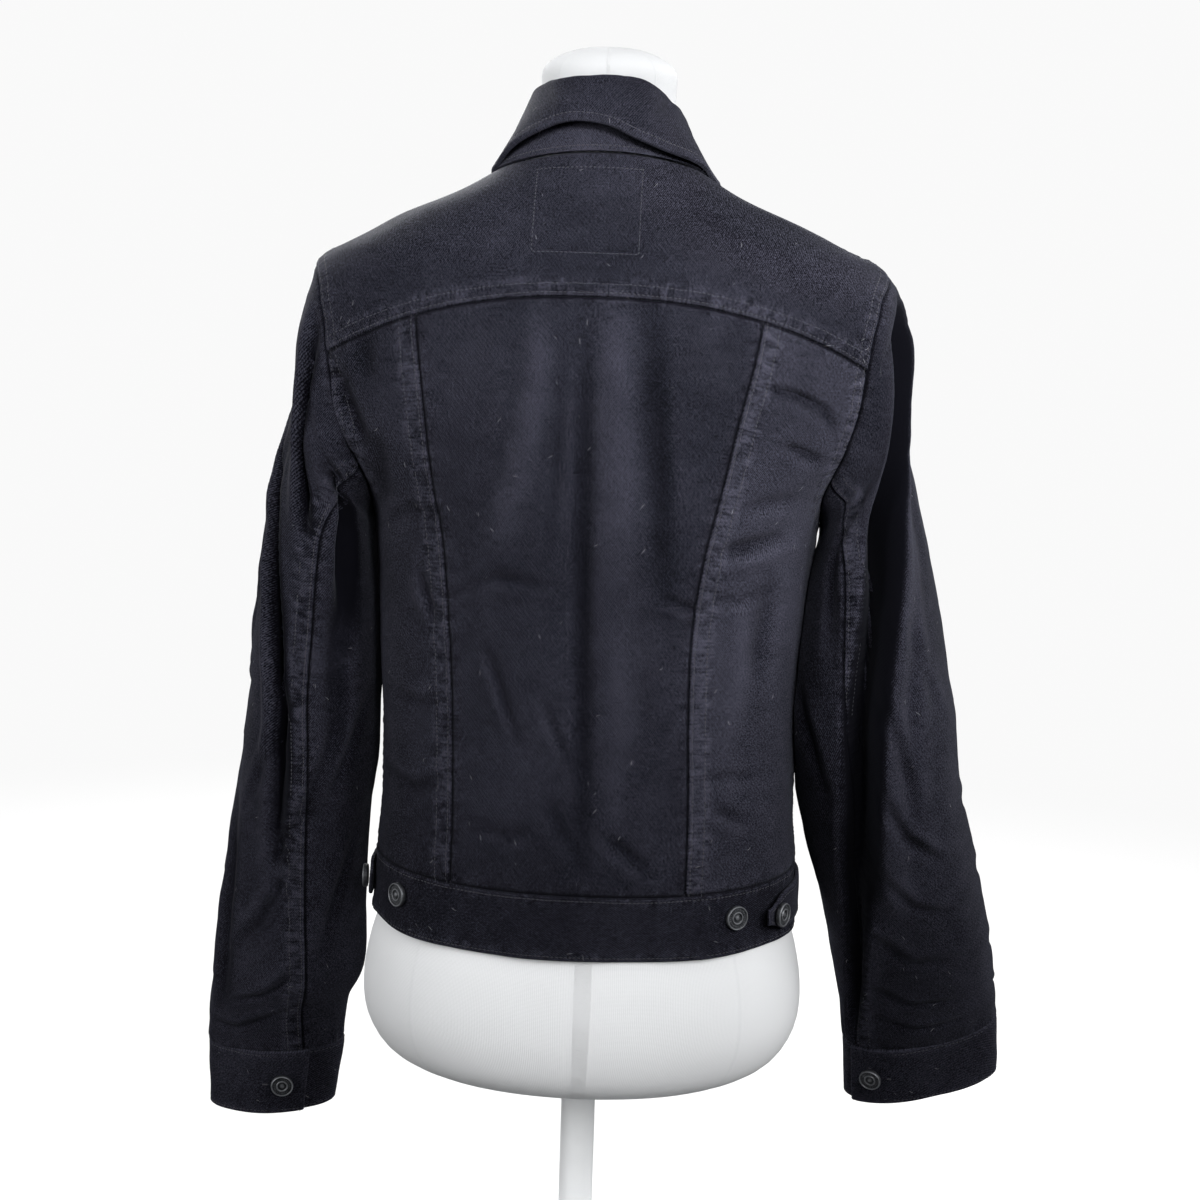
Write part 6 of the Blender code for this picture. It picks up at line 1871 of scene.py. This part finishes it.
form = {
    # how far inside the jacket's outer face it stays, by level, and how much narrower it is besides
    "ease": np.array([
        (0.000, 0.0045, 0.000), (0.050, 0.0065, 0.000), (0.130, 0.0130, 0.000), (0.200, 0.0120, 0.000),
        (0.270, 0.0080, 0.000), (0.310, 0.0075, 0.003), (0.350, 0.0080, 0.024), (0.400, 0.0080, 0.034),
        (0.440, 0.0070, 0.032), (0.465, 0.0055, 0.022), (0.478, 0.0060, 0.012), (0.495, 0.0080, 0.002),
        (0.515, 0.0090, 0.000), (0.543, 0.0110, 0.000)]),
    "hips": np.array([
        (-0.1120, -0.1120, -0.1120, 0.1020, 0.0720, 0.0690, 2.1),
        (-0.1085, -0.1085, -0.1085, 0.1260, 0.0900, 0.0860, 2.1),
        (-0.0960, -0.0960, -0.0960, 0.1460, 0.1050, 0.1000, 2.15),
        (-0.0740, -0.0740, -0.0740, 0.1580, 0.1120, 0.1060, 2.2),
        (-0.0480, -0.0480, -0.0480, 0.1600, 0.1135, 0.1070, 2.25),
        (-0.0200, -0.0200, -0.0200, 0.1555, 0.1110, 0.1055, 2.3)]),
    "neck": np.array([
        (0.5560, 0.5470, 0.5000, 0.0515, 0.0455, 0.0640, 2.0),
        (0.5700, 0.5640, 0.5420, 0.0468, 0.0415, 0.0540, 2.0),
        (0.5860, 0.5840, 0.5780, 0.0462, 0.0405, 0.0495, 2.0),
        (0.5980, 0.5980, 0.5960, 0.0458, 0.0400, 0.0475, 2.0),
        (0.6065, 0.6065, 0.6060, 0.0370, 0.0335, 0.0400, 2.0),
        (0.6120, 0.6120, 0.6120, 0.0225, 0.0215, 0.0260, 2.0)]),
    "top": 0.6140, "bodyRings": 20, "rows": 110, "sides": 120,
    "lowDisc": 0.25, "topDisc": 0.45, "topDrop": 0.0003, "flatRadius": 0.14,
}


def buildForm():
    angles = np.linspace(0, 360, form["sides"], endpoint=False)
    rings = [ringPoint(row, angles) for row in form["hips"]]
    for level in np.linspace(0, jacket["neckLevel"], form["bodyRings"]):
        row = blendRows(bodyRings, np.array(level))
        ease = blendRows(form["ease"], np.array(level))
        row[3] -= ease[2]
        rings.append(ringPoint(row, angles) - bodyNormal(angles, np.full_like(angles, level)) * ease[1])
    rings = np.array(rings + [ringPoint(row, angles) for row in form["neck"]])
    bottom, top = np.array([0, 0, hem + form["hips"][0, 0]]), np.array([0, 0, hem + form["top"]])
    low, high = form["lowDisc"], form["topDisc"]
    stack = [rings[:1] * low + bottom * (1 - low), rings, rings[-1:] * high + top * (1 - high)]
    stack = np.concatenate(stack)
    stack[0, :, 2], stack[-1, :, 2] = bottom[2], top[2] - form["topDrop"]
    lengths = lengthAlong(stack).mean(1)
    marks = np.interp(np.linspace(0, 1, form["rows"]), np.linspace(0, 1, len(lengths)), lengths)
    rows = np.stack([blendRows(np.concatenate([lengths[:, None], stack[:, k]], axis=1), marks)[:, 1:]
                     for k in range(len(angles))], axis=1)
    count, points = len(angles), np.concatenate([rows.reshape(-1, 3), [bottom, top]])
    faces, last = [], (len(rows) - 1) * count
    for k in range(count):
        after = (k + 1) % count
        faces += [(len(points) - 2, after, k), (len(points) - 1, last + k, last + after)]
        faces += [(r * count + k, r * count + after, (r + 1) * count + after, (r + 1) * count + k)
                  for r in range(len(rows) - 1)]
    mesh = meshFrom("form_fine", points, faces)
    mesh.shade_smooth()
    turned = np.where(angles > 180, angles - 360, angles)
    storeValue(mesh, "roundAngle", np.concatenate([np.tile(turned, len(rows)), [0, 0]]))
    around = np.tile(np.radians(angles) * form["flatRadius"], len(rows))
    flat = np.stack([np.append(around, [0, 0]), np.append(np.repeat(marks, count), [0, marks[-1]])])
    storeFlat(mesh, flat.T)
    obj = newObject("form_fine", mesh, jersey)
    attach(obj, "root")
    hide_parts("form_body")


stand = {"baseRadius": 0.125, "baseThickness": 0.012, "edge": 0.003, "lowEdge": 0.001, "discRadius": 0.02,
         "poleRadius": 0.0125, "gap": 0.0003, "sides": 96}


def buildStand():
    r, t, edge, low = stand["baseRadius"], stand["baseThickness"], stand["edge"], stand["lowEdge"]
    rounded = [(r - edge + edge * sin(a), t - edge + edge * cos(a)) for a in np.linspace(pi / 2, 0, 7)]
    base = [(0, 0), (r - low, 0), (r, low)] + rounded + [(stand["discRadius"], t), (0, t)]
    foot, top = t + stand["gap"], hem + form["hips"][0, 0] - stand["gap"]
    p = stand["poleRadius"]
    pole = [(0, foot), (p, foot), (p, foot + low), (p, top - low), (p, top), (0, top)]
    for name, profile in (("stand_base", base), ("stand_pole", pole)):
        obj = newObject(name + "_fine", turnedMesh(name + "_fine", profile, stand["sides"]), paint)
        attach(obj, "root")
        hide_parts(name)


buildForm()
buildStand()

# The cloth's cuts, stage, light and camera
for name, obj in clothPieces.items():
    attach(obj, "root")
    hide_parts(name)
    points = np.zeros(2 * len(obj.data.loops))
    obj.data.uv_layers["flat"].data.foreach_get("uv", points)
    points = points.reshape(-1, 2)
    size = points.max(0) - points.min(0)
    area = min(clothArea(obj), float(size[0] * size[1]))

stage = {"half": 6.0, "clearFrom": 0.35, "clearTo": 1.7, "grey": (0.88, 0.88, 0.88, 1)}


def buildFloor():  # pale under the stand, and as bright as the background farther out
    h, black, white = stage["half"], (0, 0, 0, 1), (1, 1, 1, 1)
    mesh = meshFrom("floor", [(-h, -h, 0), (h, -h, 0), (h, h, 0), (-h, h, 0)], [(0, 1, 2, 3)])
    f = Finish("paleFloor", {"Roughness": 0.9, "Specular IOR Level": 0.0, "Emission Strength": 0.95})
    distance = f.node("VectorMath", {"operation": "LENGTH"}, {0: f.node("TexCoord", {}, {}, out=3)}, out=1)
    ends = {"Value": distance, "From Min": stage["clearFrom"], "From Max": stage["clearTo"]}
    far = f.node("MapRange", {"interpolation_type": "SMOOTHSTEP"}, ends)
    f.send(f.mixed(far, stage["grey"], black), "Base Color")
    f.send(f.mixed(far, black, white), "Emission Color")
    floor = newObject("floor", mesh, f.material)
    floor.visible_diffuse = floor.visible_glossy = False


buildFloor()


def collected(name, objects):
    made = bpy.data.collections.new(name)
    for obj in objects:
        made.objects.link(obj)
    return made


def studioLight(name, place, target, size, power, receivers, width=None):  # a spot where it has a width
    light = bpy.data.lights.new(name, "SPOT" if width else "AREA")
    light.energy = power
    if width:
        light.spot_size, light.spot_blend, light.shadow_soft_size = radians(width), 1.0, size
    else:
        light.shape, light.size = "DISK", size
    obj = bpy.data.objects.new(name, light)
    bpy.context.scene.collection.objects.link(obj)
    obj.light_linking.receiver_collection = receivers
    obj.location = place
    obj.rotation_euler = (Vector(target) - Vector(place)).to_track_quat("-Z", "Y").to_euler()


# Lights on the jacket: name, place, target, size, power and a spot's width in degrees
middle, high = (0, 0, 0.55), (0, 0, 0.6)
jacketLights = [
    ("backKey", (-2.2, 0.9, 1.6), high, 0.9, 22, None), ("backHigh", (-1.5, 1.6, 1.7), high, 0.9, 20, None),
    ("backFill", (-0.4, 2.4, 1.5), high, 1.0, 12, None),
    ("farSide", (2.1, 0.9, 0.9), (0, 0, 0.5), 1.0, 30, None),
    ("backPool", (-0.5, 1.6, 1.55), (-0.06, 0.1, 0.81), 0.25, 150, 24),
    ("sidePool", (-1.4, 1.5, 1.2), (-0.13, 0.1, 0.66), 0.25, 104, 20),
    ("frontKey", (1.5, -1.6, 1.7), middle, 0.9, 42, None),
    ("frontFill", (0.4, -2.4, 1.5), middle, 1.0, 14, None),
    ("frontSide", (-2.0, -1.2, 1.4), middle, 1.0, 32, None),
    ("frontPool", (0.5, -1.6, 1.55), (0.04, -0.1, 0.74), 0.25, 130, 30),
    ("topFill", (0, 0, 2.6), middle, 2.0, 4, None),
]
# On the white pieces: name, place and power
whiteLights = [("whiteBack", (-1.4, 1.9, 1.5), 80), ("whiteSide", (2.0, 1.0, 1.2), 47),
               ("whiteFront", (1.2, -2.0, 1.5), 62), ("whiteFar", (-2.0, -1.0, 1.2), 40),
               ("whiteTop", (0, 0, 2.8), 14)]


def lightScene():
    isWhite = lambda obj: obj.name.startswith(("form_fine", "stand_", "floor"))
    shown = [obj for obj in bpy.data.objects if obj.type == "MESH" and not obj.hide_render]
    dark = collected("jacketPieces", [obj for obj in shown if not isWhite(obj)])
    white = collected("whitePieces", [obj for obj in shown if isWhite(obj)])
    for name, place, target, size, power, width in jacketLights:
        studioLight(name, place, target, size, power, dark, width)
    for name, place, power in whiteLights:
        studioLight(name, place, (0, 0, 0.45), 2.0, power, white)
    world = bpy.data.worlds.new("studio")
    world.use_nodes = True
    background = world.node_tree.nodes["Background"]
    background.inputs["Color"].default_value = (1, 1, 1, 1)
    background.inputs["Strength"].default_value = 0.95
    world.cycles_visibility.diffuse = world.cycles_visibility.glossy = False
    bpy.context.scene.world = world
    bpy.context.scene.view_settings.view_transform = "Standard"


lightScene()

view = {"azimuth": 182.6, "elevation": 10.0, "distance": 1.5, "lens": 63, "roll": 1.8,
        "target": (-0.0046, 0, 0.531)}


def placeCamera():
    a, e = radians(view["azimuth"]), radians(view["elevation"])
    behind = Vector((sin(a) * cos(e), -cos(a) * cos(e), sin(e)))
    right = (-behind).cross(Vector((0, 0, 1))).normalized()
    up = right.cross(-behind)
    roll = radians(view["roll"])
    right, up = right * cos(roll) + up * sin(roll), up * cos(roll) - right * sin(roll)
    data = bpy.data.cameras.new("camera")
    data.lens, data.sensor_width = view["lens"], 36
    camera = bpy.data.objects.new("camera", data)
    bpy.context.scene.collection.objects.link(camera)
    place = Vector(view["target"]) + behind * view["distance"]
    turn = Matrix((right, up, behind)).transposed().to_4x4()
    camera.matrix_world = Matrix.Translation(place) @ turn
    bpy.context.scene.camera = camera


placeCamera()
